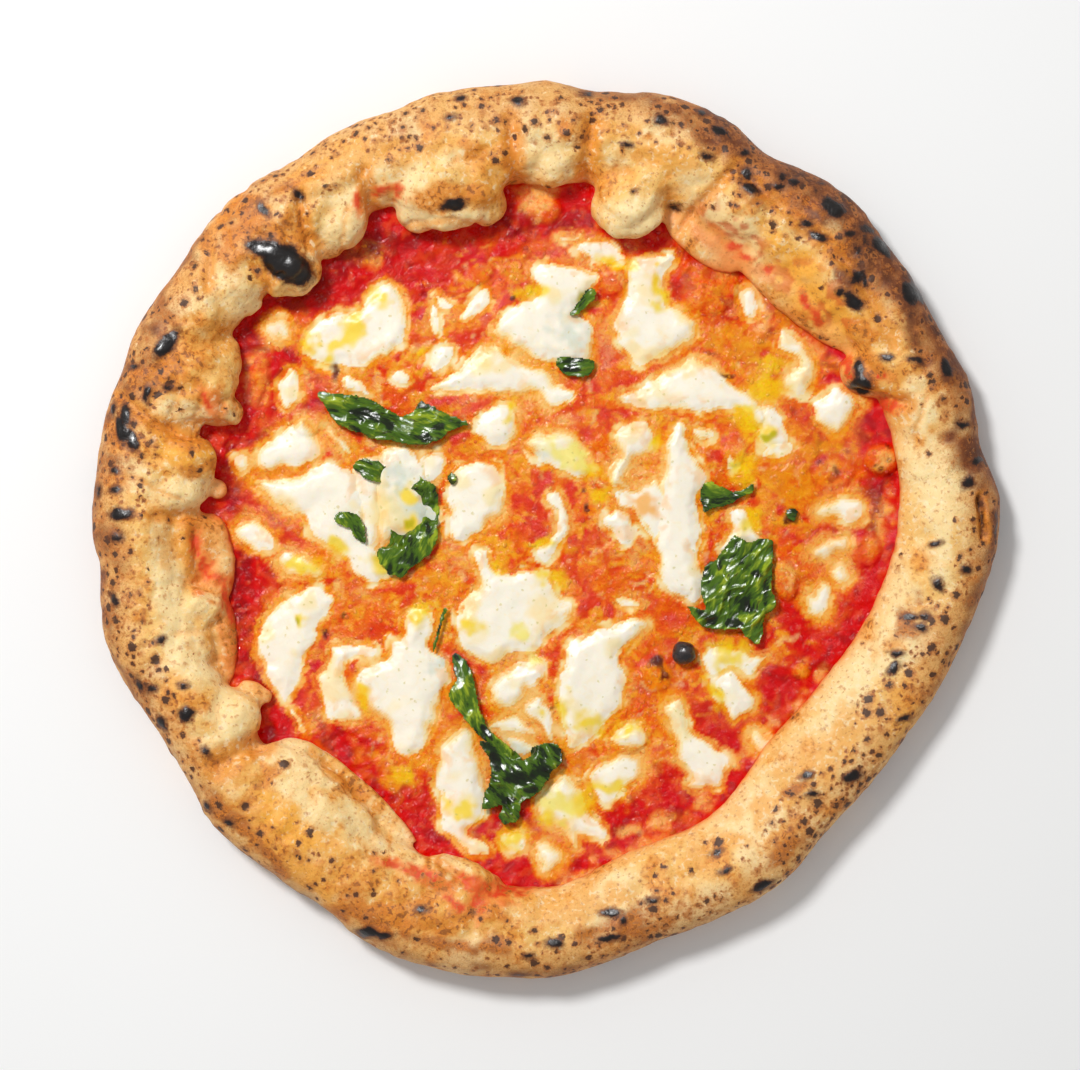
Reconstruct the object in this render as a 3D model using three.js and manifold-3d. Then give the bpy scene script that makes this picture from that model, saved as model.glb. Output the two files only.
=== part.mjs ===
// A margherita pizza: a puffed dough round with its rim, tomato sauce, torn mozzarella and basil.
// Millimetres, +Z up. The origin is on the flat underside, at the middle of the round.

import * as THREE from 'three';
import { mergeVertices } from 'three/addons/utils/BufferGeometryUtils.js';
import Module from 'manifold-3d';

const wasm = await Module();
wasm.setup();

// ---------------------------------------------------------------------------------------------
// Driving dimensions
// ---------------------------------------------------------------------------------------------

const BASE_RADIUS = 137;
const BASE_THICKNESS = 4;
const SAUCE_TOP = 5.8;
const SAUCE_REACH = 7;
const GAP = 0.3;
const SIDE_CLEARANCE = 0.6;
const TOPPING_FLOOR = SAUCE_TOP + GAP;
const CUT_HEIGHT = 40;
const MERGE_DISTANCE = 0.001;
const FACET_TOLERANCE = 0.35;
const FULL_TURN = 2 * Math.PI;
const QUARTER_TURN = Math.PI / 2;

// The rim every 15 degrees, counter-clockwise from +X: outer radius, inner radius, crest height.
const RIM_STATIONS = [
  [160, 124, 22],
  [157.5, 126, 23],
  [155.5, 124, 24],
  [158.5, 122, 25],
  [154.5, 119, 25],
  [158, 122, 26],
  [159, 121, 26],
  [158, 122, 26],
  [158, 127, 25],
  [161, 127, 27],
  [160, 129, 27],
  [161, 129, 27],
  [160.5, 128, 27],
  [161, 127, 27],
  [156, 125, 26],
  [157.5, 125, 26],
  [156, 121, 26],
  [161, 125, 25],
  [159.5, 127, 24],
  [152.5, 118, 22.5],
  [151, 117, 22],
  [146, 109.5, 22],
  [147, 111, 21.5],
  [152.5, 118, 21.5],
];
const RIM_STEPS = 56;
const RIM_SECTION_SIDES = 9;
const BASE_SEGMENTS = 32;
const RIM_WAIST = 0.42;
const RIM_FOOT_DEPTH = 1.3;

// Waves along the rim: how many in a turn, their height, and where they start in radians.
const RIM_WAVES = [
  { count: 7, height: 0.9, start: 1 },
  { count: 12, height: 0.7, start: 2.4 },
  { count: 19, height: 0.5, start: 0.6 },
];

// On one side the inner slope is long and gentle, because the crest leans outwards there.
const LEAN_BEARING = THREE.MathUtils.degToRad(315);
const LEAN_SPREAD = THREE.MathUtils.degToRad(62);
const LEAN_AMOUNT = 0.32;

// Puffed lobes of the rim: centre, half length, half width, half height, height of the centre
// and bearing of the long axis in degrees.
const LOBES = [
  { at: [-100, 95], half: [20, 17, 12], centre: 14.5, bearing: -42 },
  { at: [-106, 84], half: [10, 9, 7], centre: 12, bearing: 0 },
  { at: [-74, 112], half: [17, 12, 9.5], centre: 15.5, bearing: 123 },
  { at: [-38, 122], half: [23, 21, 11.5], centre: 14.5, bearing: 5 },
  { at: [1, 138], half: [10, 18, 10.5], centre: 15, bearing: 0 },
  { at: [29, 121], half: [15, 18, 12], centre: 14, bearing: 0 },
  { at: [87, 91], half: [45, 15, 7.5], centre: 9, bearing: -43 },
  { at: [113, 54], half: [9, 8, 6], centre: 11, bearing: -30 },
  { at: [120, 24], half: [9, 9, 6.5], centre: 9.5, bearing: 0 },
  { at: [-128, 52], half: [19, 20, 12.5], centre: 14, bearing: 0 },
  { at: [-131, 23], half: [17.5, 15, 12.5], centre: 14, bearing: 0 },
  { at: [-114, 13], half: [5, 4, 4], centre: 9, bearing: 0 },
  { at: [-130, -13], half: [20, 22, 12.5], centre: 14, bearing: 0 },
  { at: [-124, -42], half: [19, 17, 12], centre: 13.5, bearing: 15 },
  { at: [-111, -67.5], half: [11.5, 11.5, 10.5], centre: 14, bearing: 0 },
  { at: [-103, -58], half: [6, 5, 4.5], centre: 10, bearing: 20 },
  { at: [-84, -100], half: [32, 18, 12], centre: 14, bearing: -43 },
  { at: [-36, -131], half: [23, 17, 11], centre: 13, bearing: -12 },
];
const LOBE_SEGMENTS = 11;
const LOBE_RINGS = 6;

// Torn mozzarella: how far each piece stands up, and its outline as it melted.
const MOZZARELLA = [
  { rise: 2.6, outline: [[-88, 63], [-81, 57.5], [-66, 56.5], [-60, 59], [-53, 63], [-48.5, 72],
    [-52, 84], [-56, 88], [-63, 84], [-68, 76.5], [-80, 75]] },
  { rise: 2.4, outline: [[-92, 41.5], [-96.5, 46], [-94, 55], [-90, 57], [-87.5, 52], [-88, 45]] },
  { rise: 3, outline: [[-103, 28], [-94, 35], [-87, 40], [-83, 36], [-80, 28], [-84, 22.5],
    [-92, 20.5], [-102, 20]] },
  { rise: 3.2, outline: [[-104, 17], [-88, 19.5], [-76, 23.5], [-68, 19], [-64.5, 8], [-62, -6],
    [-54, -14], [-56, -19], [-67, -19], [-75, -9], [-84, -4], [-86, 3], [-92, 5], [-99, 10]] },
  { rise: 3.4, outline: [[-61, 25], [-52, 29], [-44, 23], [-41, 12], [-42, 2], [-47, -5], [-54, -4],
    [-60, -8], [-61, 0], [-63, 12]] },
  { rise: 2.4, outline: [[-112, -2], [-109, 3], [-104, 3.5], [-97, -3], [-98, -9], [-106, -7]] },
  { rise: 1.6, outline: [[-96, -11], [-92, -8], [-80, -14], [-80, -18], [-90, -17.5], [-95, -15]] },
  { rise: 3.2, outline: [[-100, -31], [-92, -24], [-82, -20.5], [-75, -24], [-74.5, -28],
    [-80, -34], [-82, -41], [-85, -48], [-90, -59], [-93, -63], [-98, -56], [-103, -46], [-104, -39]] },
  { rise: 2.2, outline: [[-76, -41], [-68, -41], [-60, -42], [-60, -46], [-69, -47], [-70, -54],
    [-66, -63], [-66, -68], [-77, -69], [-80, -60], [-83, -53], [-79, -50]] },
  { rise: 3.4, outline: [[-51, -31], [-44, -28], [-40, -32], [-41, -42], [-35, -48], [-36, -58],
    [-39, -66], [-43, -78], [-50, -83], [-55, -80], [-57, -72], [-63, -66], [-68, -56], [-66, -49],
    [-57, -47], [-56, -40], [-52, -38]] },
  { rise: 3, outline: [[-33, -71], [-27, -73], [-23, -86], [-20.5, -96], [-23, -103], [-27, -108],
    [-21, -112], [-20, -116], [-27, -116], [-33, -111], [-38, -107], [-38, -97], [-41, -88], [-38, -78]] },
  { rise: 3.4, outline: [[8, -40], [18, -35.5], [31, -31], [36, -33], [33, -39], [27, -46], [29, -56],
    [26, -65], [20, -71], [13, -78], [7, -78], [5, -70], [4, -60], [5, -50]] },
  { rise: 2.8, outline: [[-21, -58], [-16, -51], [-8, -47], [-1, -48], [-1, -53], [-6, -59], [-12, -64],
    [-18, -65]] },
  { rise: 1.8, outline: [[-9, -63.5], [-3, -59], [1, -62], [2.5, -68], [4, -76], [0, -75], [-4, -70]] },
  { rise: 3, outline: [[-4, -97], [1, -91], [7, -87], [13, -93], [15, -101], [22, -108], [19, -112],
    [12, -109], [12, -115], [8, -114], [4, -107], [-2, -104]] },
  { rise: 2.6, outline: [[-4, -113], [2, -111], [6, -115], [5, -120], [0, -123], [-4, -120]] },
  { rise: 2.2, outline: [[21, -76], [28, -69], [34, -71], [35, -77], [28, -78.5]] },
  { rise: 2, outline: [[14, -86], [24, -80.5], [33, -80.5], [34, -88], [27, -94], [20, -99],
    [15, -92]] },
  { rise: 3, outline: [[40, -65], [47, -60], [50, -66], [52, -73], [60, -77], [65, -82], [64, -87],
    [60, -93], [49, -93], [51, -87], [45, -80], [44, -73]] },
  { rise: 3, outline: [[59, -54], [65, -51], [70, -55], [74, -62], [70, -67], [66, -70], [63, -64],
    [60, -59]] },
  { rise: 1.8, outline: [[55, -50], [56, -43], [63, -41], [72, -45], [79, -46], [76, -50], [72, -54],
    [66, -50.5], [60, -53]] },
  { rise: 2.4, outline: [[93, -9], [99, -4], [107, -3], [107, -8], [101, -11.5], [95, -12]] },
  { rise: 2, outline: [[100, -14], [105, -12], [109, -18], [105, -21.5], [101, -18]] },
  { rise: 2.4, outline: [[98, -18], [102, -21], [101, -27], [97, -34], [92, -30], [91, -26], [94, -22]] },
  { rise: 2.2, outline: [[94, 5], [99, 9], [105, 11], [112, 9], [112, 3], [108, 0], [103, 3], [97, 3]] },
  { rise: 2.6, outline: [[65, 6], [71, 6], [73, 0], [78, -5], [73, -7], [66, -9], [60, -8], [64, -2]] },
  { rise: 3.4, outline: [[46, 38], [50, 36], [51, 28], [57, 20], [54, 8], [56, -2], [54, -12],
    [57, -20], [53, -27], [46, -25], [39, -17], [38, -4], [40, 14], [42, 30]] },
  { rise: 3, outline: [[24, 47], [34, 50.5], [42, 56], [52, 60], [61, 57], [66, 51], [72, 47.5],
    [76, 44], [80, 37], [74, 35], [70, 41], [60, 40], [48, 41], [38, 41], [30, 43]] },
  { rise: 2.8, outline: [[81, 63], [83, 70], [90, 67], [95, 60], [95, 52], [91, 46], [84, 49],
    [84, 55], [89, 58], [86, 62]] },
  { rise: 2.6, outline: [[93, 44], [99, 47], [104, 50], [111, 45], [109, 39], [104, 33], [97, 36],
    [94, 40]] },
  { rise: 1.8, outline: [[75, 26], [79, 31], [87, 31], [86, 26], [80, 24.5]] },
  { rise: 3.4, outline: [[-20, 72], [-12, 79], [-4, 83], [-5, 91], [2, 94.5], [14, 93], [19, 88],
    [15, 81], [10, 76], [17, 73], [17, 62], [14, 56], [5, 58], [-2, 59], [-10, 62], [-18, 67]] },
  { rise: 3, outline: [[-42, 47], [-32, 48], [-20, 48], [-11, 46], [-4, 47.5], [1, 42], [8, 45],
    [10, 49], [3, 53], [0, 57], [-9, 60], [-18, 64.5], [-26, 63], [-31, 57], [-40, 52]] },
  { rise: 3, outline: [[30, 94], [37, 96], [43, 98], [46, 95], [42, 88], [43, 80], [48, 77], [53, 73],
    [53, 68], [48, 64], [42, 60.5], [33, 56], [28, 61], [24, 68], [23, 75], [28, 84]] },
  { rise: 1.8, outline: [[9, 98], [14, 102], [20, 102], [27, 98], [29, 95.5], [22, 93.5], [15, 95]] },
  { rise: 2, outline: [[-21, 86], [-19.5, 80], [-24, 75], [-28, 71], [-32, 73], [-30, 78], [-26, 83]] },
  { rise: 2, outline: [[-42, 62], [-38, 65], [-33, 65], [-32, 60], [-36, 56.5], [-41, 55]] },
  { rise: 2.2, outline: [[-74, 54], [-70, 55], [-64, 51], [-60, 47], [-66, 47], [-73, 48.5]] },
  { rise: 3, outline: [[-9, 31], [-4, 33.5], [3, 35], [8, 33], [11, 28], [15, 23], [16, 18], [12, 17],
    [8, 18], [2, 21], [-4, 24], [-8, 28]] },
  { rise: 3.2, outline: [[24, 34], [30, 38], [36, 37], [38, 31], [37, 27], [31, 23], [28, 18],
    [30, 13], [23, 14], [21, 18], [24, 27]] },
  { rise: 3, outline: [[-25, 38], [-19, 43.5], [-12, 43], [-10, 35], [-12, 30], [-18, 28], [-25, 31.5]] },
  { rise: 3.4, outline: [[-33, 21], [-27, 24], [-18, 23], [-16, 18], [-14, 13], [-15, 7], [-20, 1],
    [-25, -3], [-31, -6.5], [-35, -4], [-34.5, 4], [-36, 12], [-35, 18]] },
  { rise: 2.4, outline: [[0, 12], [4, 13], [8, 7], [8, 0], [5, -6], [3, -10], [0, -13], [-4, -9],
    [0, -4], [2.5, 1], [3, 6], [0, 9]] },
  { rise: 2.8, outline: [[19, 4], [24, 7], [30, 4], [32, -2], [30, -6], [26, -6], [21, -1]] },
  { rise: 3.2, outline: [[-27, -8], [-21, -8], [-19.5, -14], [-14, -15], [-6, -14], [1, -18], [4, -25],
    [10, -27], [8, -33], [1, -39], [-4, -45], [-14, -46], [-20, -49], [-27, -46], [-32, -40],
    [-32, -30], [-29, -23], [-24, -20], [-26, -13]] },
];
const MOZZARELLA_POINTS_PER_CORNER = 2;
const MOZZARELLA_EDGE = 1.1;
const MOZZARELLA_WAIST = 0.45;
const MOZZARELLA_UNDERCUT = 0.5;

// Basil leaves: the midrib as seen from above, half the width, and how far the blade curls up.
const BASIL = [
  { midrib: [[-78, 43], [-66, 37.5], [-50, 36], [-30, 39]], halfWidth: 8, curl: 5 },
  { midrib: [[-70, 21], [-60, 19], [-48, 17]], halfWidth: 4.5, curl: 1.5 },
  { midrib: [[-75, 5], [-69, 2], [-64, -6]], halfWidth: 4, curl: 1.5 },
  { midrib: [[-52, -18], [-46, -4], [-40, 14]], halfWidth: 8, curl: 2 },
  { midrib: [[-31, -44], [-30, -58], [-20, -73]], halfWidth: 5, curl: 3.5 },
  { midrib: [[-20, -101], [-10, -89], [4, -81]], halfWidth: 9.5, curl: 5.5 },
  { midrib: [[54, 9], [63, 11.5], [74, 13]], halfWidth: 5.5, curl: 2.5 },
  { midrib: [[77, -5], [68, -20], [56, -37]], halfWidth: 12.5, curl: 6 },
  { midrib: [[7, 75], [13, 80], [18, 84]], halfWidth: 3, curl: 1.5 },
  { midrib: [[4, 58.5], [9, 57], [15, 55]], halfWidth: 3.2, curl: 1.5 },
];
const BASIL_THICKNESS = 0.8;
const BASIL_TOLERANCE = 0.05;
const BASIL_STEPS = 6;
const BASIL_ACROSS = [-1, -0.4, 0.4, 1];
const BASIL_CRUMPLE = 0.7;
const BASIL_CRUMPLE_WAVES = 2;
const BASIL_CRUMPLE_SKEW = 3;
const BASIL_CURL_POWER = 1.5;
const BASIL_TIP = 0.14;

// One burst bubble of sauce that charred into a bead.
const BEAD = { at: [48.4, -44.6], radius: 4.3, segments: 10, rings: 7 };

// ---------------------------------------------------------------------------------------------
// Materials
// ---------------------------------------------------------------------------------------------

const crustFinish = new THREE.MeshStandardMaterial({ color: 0xdba862, roughness: 0.7, metalness: 0 });
const sauceFinish = new THREE.MeshStandardMaterial({ color: 0xc8260c, roughness: 0.3, metalness: 0 });
const cheeseFinish = new THREE.MeshStandardMaterial({ color: 0xfaf0dc, roughness: 0.35, metalness: 0 });
const leafFinish = new THREE.MeshStandardMaterial({ color: 0x3d6b1f, roughness: 0.4, metalness: 0 });
const charFinish = new THREE.MeshStandardMaterial({ color: 0x2b2725, roughness: 0.3, metalness: 0 });

// ---------------------------------------------------------------------------------------------
// Solids and meshes
// ---------------------------------------------------------------------------------------------

// Turns a closed geometry into a solid that can be joined and cut.
function toSolid(geometry) {
  const bare = geometry.clone();
  bare.deleteAttribute('normal');
  bare.deleteAttribute('uv');
  const merged = mergeVertices(bare, MERGE_DISTANCE);
  return new wasm.Manifold(new wasm.Mesh({
    numProp: 3,
    vertProperties: new Float32Array(merged.attributes.position.array),
    triVerts: new Uint32Array(merged.index.array),
  }));
}

// Turns a solid back into a geometry.
function toGeometry(solid) {
  const { vertProperties, triVerts } = solid.getMesh();
  const geometry = new THREE.BufferGeometry();
  geometry.setAttribute('position', new THREE.BufferAttribute(vertProperties, 3));
  geometry.setIndex(new THREE.BufferAttribute(triVerts, 1));
  geometry.computeVertexNormals();
  return geometry;
}

// Six times the volume that the faces enclose, negative when they point inwards.
function signedVolume(points, faces) {
  let sum = 0;
  for (let i = 0; i < faces.length; i += 3) {
    const [a, b, c] = [points[faces[i]], points[faces[i + 1]], points[faces[i + 2]]];
    sum += a.dot(new THREE.Vector3().crossVectors(b, c));
  }
  return sum;
}

// A closed solid from its corner points and triangles, turned right side out.
function solidOf(points, faces) {
  const outward = signedVolume(points, faces) < 0 ? [...faces].reverse() : faces;
  const geometry = new THREE.BufferGeometry().setFromPoints(points);
  geometry.setIndex(outward);
  return toSolid(geometry);
}

// The triangles of the walls between rings of points of one size.
function wallFaces(ringCount, ringSize, joined) {
  const faces = [];
  const spans = joined ? ringCount : ringCount - 1;
  for (let i = 0; i < spans; i += 1) {
    const low = i * ringSize;
    const high = ((i + 1) % ringCount) * ringSize;
    for (let j = 0; j < ringSize; j += 1) {
      const k = (j + 1) % ringSize;
      faces.push(low + j, low + k, high + k, low + j, high + k, high + j);
    }
  }
  return faces;
}

// The triangles that close the first and the last ring, worked out on one flat contour.
function capFaces(contour, ringCount) {
  const top = (ringCount - 1) * contour.length;
  const cap = THREE.ShapeUtils.triangulateShape(contour, []);
  const under = cap.flatMap(([a, b, c]) => [a, c, b]);
  const over = cap.flatMap(([a, b, c]) => [top + a, top + b, top + c]);
  return [...under, ...over];
}

// The largest piece where a cut has left crumbs, without facets finer than the tolerance.
function trimmed(solid, tolerance) {
  const pieces = solid.decompose();
  const largest = pieces.reduce((best, piece) => (piece.volume() > best.volume() ? piece : best));
  return largest.simplify(tolerance);
}

// ---------------------------------------------------------------------------------------------
// Outlines seen from above
// ---------------------------------------------------------------------------------------------

// A smooth closed outline through its corners, counter-clockwise.
function smoothOutline(corners, pointsPerCorner) {
  const curve = new THREE.CatmullRomCurve3(corners.map(([x, y]) => new THREE.Vector3(x, y, 0)), true);
  const count = corners.length * pointsPerCorner;
  const points = [];
  for (let i = 0; i < count; i += 1) {
    const { x, y } = curve.getPoint(i / count);
    points.push(new THREE.Vector2(x, y));
  }
  return THREE.ShapeUtils.isClockWise(points) ? points.reverse() : points;
}

// The same outline moved outwards by a distance, or inwards where it is negative.
function offsetOutline(outline, distance) {
  const count = outline.length;
  return outline.map((point, i) => {
    const before = outline[(i + count - 1) % count];
    const after = outline[(i + 1) % count];
    const along = new THREE.Vector2().subVectors(after, before).normalize();
    return new THREE.Vector2(point.x + along.y * distance, point.y - along.x * distance);
  });
}

// A solid stacked from outlines of one size, each at its own height.
function stack(layers) {
  const points = layers.flatMap(({ outline, z }) => outline.map(({ x, y }) => new THREE.Vector3(x, y, z)));
  const contour = layers[0].outline;
  const faces = [...wallFaces(layers.length, contour.length, false), ...capFaces(contour, layers.length)];
  return solidOf(points, faces);
}

// A straight column over an outline, used to keep the next topping clear of this one.
function column(outline) {
  const grown = offsetOutline(outline, SIDE_CLEARANCE);
  return stack([{ outline: grown, z: 0 }, { outline: grown, z: CUT_HEIGHT }]);
}

// ---------------------------------------------------------------------------------------------
// Dough
// ---------------------------------------------------------------------------------------------

const rimCurve = new THREE.CatmullRomCurve3(
  RIM_STATIONS.map(([outer, inner, crest]) => new THREE.Vector3(outer, inner, crest)),
  true,
);

// Outer radius, inner radius and crest height of the rim at a bearing in radians.
function rimAt(bearing) {
  const { x: outer, y: inner, z: crest } = rimCurve.getPoint(bearing / FULL_TURN);
  const wave = RIM_WAVES.reduce((sum, { count, height, start }) => (
    sum + height * Math.sin(count * bearing + start)
  ), 0);
  return { outer: outer - Math.abs(wave) / 2, inner, crest: crest - Math.abs(wave) };
}

// How far the crest leans outwards at a bearing, as a share of half the rim's width.
function leanAt(bearing) {
  const turn = (bearing - LEAN_BEARING) / LEAN_SPREAD;
  return LEAN_AMOUNT * Math.exp(-turn * turn);
}

// One section across the rim: a flat foot, a waist below the middle and a rounded crest.
function rimSection(bearing, grow) {
  const { outer, inner, crest } = rimAt(bearing);
  const middle = (outer + inner) / 2;
  const halfWidth = (outer - inner) / 2 + grow;
  const waist = crest * RIM_WAIST;
  const lean = leanAt(bearing);
  const points = [];
  for (let i = 0; i < RIM_SECTION_SIDES; i += 1) {
    const angle = (-FULL_TURN * (i + 0.5)) / RIM_SECTION_SIDES;
    const up = Math.sin(angle);
    const over = up > 0 ? (crest - waist + grow) * up : waist * RIM_FOOT_DEPTH * up;
    const radius = middle + halfWidth * (Math.cos(angle) + (up > 0 ? lean * up * up : 0));
    const z = Math.max(0, waist + over);
    points.push(new THREE.Vector3(radius * Math.cos(bearing), radius * Math.sin(bearing), z));
  }
  return points;
}

function rimRing(grow) {
  const points = [];
  for (let i = 0; i < RIM_STEPS; i += 1) {
    points.push(...rimSection((FULL_TURN * i) / RIM_STEPS, grow));
  }
  return solidOf(points, wallFaces(RIM_STEPS, RIM_SECTION_SIDES, true));
}

function baseRound(grow) {
  const thickness = BASE_THICKNESS + grow;
  const geometry = new THREE.CylinderGeometry(BASE_RADIUS, BASE_RADIUS, thickness, BASE_SEGMENTS);
  geometry.rotateX(QUARTER_TURN);
  geometry.translate(0, 0, thickness / 2);
  return toSolid(geometry);
}

function lobe({ at, half, centre, bearing }, grow) {
  const geometry = new THREE.SphereGeometry(1, LOBE_SEGMENTS, LOBE_RINGS);
  geometry.rotateX(QUARTER_TURN);
  geometry.scale(half[0] + grow, half[1] + grow, half[2] + grow);
  geometry.rotateZ(THREE.MathUtils.degToRad(bearing));
  geometry.translate(at[0], at[1], centre);
  return toSolid(geometry);
}

// The whole dough as one solid; `grow` swells it, to cut the toppings clear of it.
function dough(grow) {
  let solid = rimRing(grow).add(baseRound(grow));
  for (const shape of LOBES) {
    solid = solid.add(lobe(shape, grow));
  }
  return trimmed(solid, FACET_TOLERANCE);
}

// ---------------------------------------------------------------------------------------------
// Toppings
// ---------------------------------------------------------------------------------------------

// The layer of sauce, which runs in under the puffed lobes.
function sauce(grownDough) {
  const outline = [];
  for (let i = 0; i < RIM_STEPS; i += 1) {
    const bearing = (FULL_TURN * i) / RIM_STEPS;
    const radius = rimAt(bearing).inner + SAUCE_REACH;
    outline.push(new THREE.Vector2(radius * Math.cos(bearing), radius * Math.sin(bearing)));
  }
  const slab = stack([{ outline, z: BASE_THICKNESS + GAP }, { outline, z: SAUCE_TOP }]);
  return trimmed(slab.subtract(grownDough), FACET_TOLERANCE);
}

// One melted piece of cheese: a small undercut, a round edge and a low top.
function mozzarella(outline, rise) {
  return stack([
    { outline: offsetOutline(outline, -MOZZARELLA_UNDERCUT), z: TOPPING_FLOOR },
    { outline, z: TOPPING_FLOOR + rise * MOZZARELLA_WAIST },
    { outline: offsetOutline(outline, -MOZZARELLA_EDGE), z: TOPPING_FLOOR + rise },
  ]);
}

// Midpoint, sideways direction and half width of a leaf at each step along its midrib.
function leafStations({ midrib, halfWidth }) {
  const curve = new THREE.CatmullRomCurve3(midrib.map(([x, y]) => new THREE.Vector3(x, y, 0)));
  const stations = [];
  for (let i = 0; i <= BASIL_STEPS; i += 1) {
    const t = i / BASIL_STEPS;
    const along = curve.getTangent(t);
    const side = new THREE.Vector3(-along.y, along.x, 0);
    const width = halfWidth * Math.max(BASIL_TIP, Math.sqrt(Math.sin(Math.PI * t)));
    stations.push({ t, middle: curve.getPoint(t), side, width });
  }
  return stations;
}

// The outline of a leaf seen from above.
function leafOutline(leaf) {
  const stations = leafStations(leaf);
  const edge = (sign) => ({ middle, side, width }) => new THREE.Vector2(
    middle.x + sign * side.x * width,
    middle.y + sign * side.y * width,
  );
  const outline = [...stations.map(edge(-1)), ...stations.reverse().map(edge(1))];
  return THREE.ShapeUtils.isClockWise(outline) ? outline.reverse() : outline;
}

// A thin blade whose two sides curl up from the midrib, with a slight crumple along it.
function leafBlade(leaf) {
  const points = [];
  for (const { t, middle, side, width } of leafStations(leaf)) {
    const row = BASIL_ACROSS.map((across) => {
      const phase = BASIL_CRUMPLE_WAVES * FULL_TURN * t + BASIL_CRUMPLE_SKEW * across;
      const crumple = BASIL_CRUMPLE * (1 + Math.sin(phase));
      const curl = leaf.curl * Math.sin(Math.PI * t) * Math.abs(across) ** BASIL_CURL_POWER;
      return middle.clone().addScaledVector(side, across * width).setZ(TOPPING_FLOOR + curl + crumple);
    });
    const over = row.map((point) => point.clone().setZ(point.z + BASIL_THICKNESS));
    points.push(...row, ...over.reverse());
  }
  const ringSize = BASIL_ACROSS.length * 2;
  const contour = [...BASIL_ACROSS.map((across) => new THREE.Vector2(across, 0)),
    ...[...BASIL_ACROSS].reverse().map((across) => new THREE.Vector2(across, 1))];
  const faces = [...wallFaces(BASIL_STEPS + 1, ringSize, false), ...capFaces(contour, BASIL_STEPS + 1)];
  return solidOf(points, faces);
}

// ---------------------------------------------------------------------------------------------
// Assembly
// ---------------------------------------------------------------------------------------------

function addMesh(group, name, solid, material) {
  const mesh = new THREE.Mesh(toGeometry(solid), material);
  mesh.name = name;
  group.add(mesh);
}

// A two-figure number, such as 07.
function numbered(prefix, index) {
  return `${prefix}_${String(index + 1).padStart(2, '0')}`;
}

// Every cheese piece, each cut clear of the dough, the leaves and the pieces before it.
function addMozzarella(group, grownDough, leafColumns) {
  const taken = [...leafColumns];
  MOZZARELLA.forEach(({ rise, outline: corners }, index) => {
    const outline = smoothOutline(corners, MOZZARELLA_POINTS_PER_CORNER);
    let solid = mozzarella(outline, rise).subtract(grownDough);
    for (const cutter of taken) {
      solid = solid.subtract(cutter);
    }
    addMesh(group, numbered('mozzarella', index), trimmed(solid, FACET_TOLERANCE), cheeseFinish);
    taken.push(column(outline));
  });
}

function addBasil(group, grownDough) {
  BASIL.forEach((leaf, index) => {
    const blade = trimmed(leafBlade(leaf).subtract(grownDough), BASIL_TOLERANCE);
    addMesh(group, numbered('basil', index), blade, leafFinish);
  });
}

function addBead(group) {
  const shape = new THREE.SphereGeometry(BEAD.radius, BEAD.segments, BEAD.rings);
  const mesh = new THREE.Mesh(shape, charFinish);
  mesh.name = 'charred_bead';
  mesh.position.set(BEAD.at[0], BEAD.at[1], TOPPING_FLOOR + BEAD.radius);
  group.add(mesh);
}

function buildPizza() {
  const pizza = new THREE.Group();
  const grownDough = dough(SIDE_CLEARANCE);
  addMesh(pizza, 'dough', dough(0), crustFinish);
  addMesh(pizza, 'tomato_sauce', sauce(grownDough), sauceFinish);
  addMozzarella(pizza, grownDough, BASIL.map((leaf) => column(leafOutline(leaf))));
  addBasil(pizza, grownDough);
  addBead(pizza);
  return pizza;
}

export default buildPizza();
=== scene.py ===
"""A margherita pizza: a puffed and charred crust, tomato sauce, torn mozzarella and basil.

Sizes are in millimetres until a mesh is made, with the origin on the flat underside at the middle
of the round and +Z up, as in the CAD frame.
"""

import logging
import math
from dataclasses import dataclass
from enum import Enum
from itertools import product
from typing import Callable, ClassVar, Sequence

import bpy
import numpy as np
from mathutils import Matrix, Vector


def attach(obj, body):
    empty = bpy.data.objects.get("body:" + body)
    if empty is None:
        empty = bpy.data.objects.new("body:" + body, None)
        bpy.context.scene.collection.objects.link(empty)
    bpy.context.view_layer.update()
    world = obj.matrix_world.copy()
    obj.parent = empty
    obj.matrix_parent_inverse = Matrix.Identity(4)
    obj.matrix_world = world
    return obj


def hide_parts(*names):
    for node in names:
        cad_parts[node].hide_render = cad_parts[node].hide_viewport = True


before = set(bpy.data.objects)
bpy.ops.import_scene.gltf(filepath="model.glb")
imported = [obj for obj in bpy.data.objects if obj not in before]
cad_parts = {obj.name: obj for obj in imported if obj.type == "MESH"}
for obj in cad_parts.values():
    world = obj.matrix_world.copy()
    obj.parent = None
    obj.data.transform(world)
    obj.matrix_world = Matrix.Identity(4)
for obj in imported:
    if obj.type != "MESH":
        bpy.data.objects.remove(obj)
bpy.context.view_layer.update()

MM = 0.001
log = logging.getLogger("pizza")

Colour = tuple[float, float, float]
Points = np.ndarray
Stations = tuple[float, ...]
Ovals = tuple[tuple[float, ...], ...]

# The eye's height, and the height at which places are measured off, in mm.
EYE = 1000
PLANE = 10


# ---- Numbers that vary from place to place ----

WORD = 0x7FFFFFFF
LATTICE_PRIMES = (73856093, 19349663, 83492791)
SCRAMBLE = (2246822519, 3266489917)


def srgb(red: int, green: int, blue: int) -> Colour:
    """Turns a colour as a screen shows it, 0 to 255, into the linear one of a shader."""
    shares = (value / 255 for value in (red, green, blue))
    return tuple(v / 12.92 if v <= 0.04045 else ((v + 0.055) / 1.055) ** 2.4 for v in shares)


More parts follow.
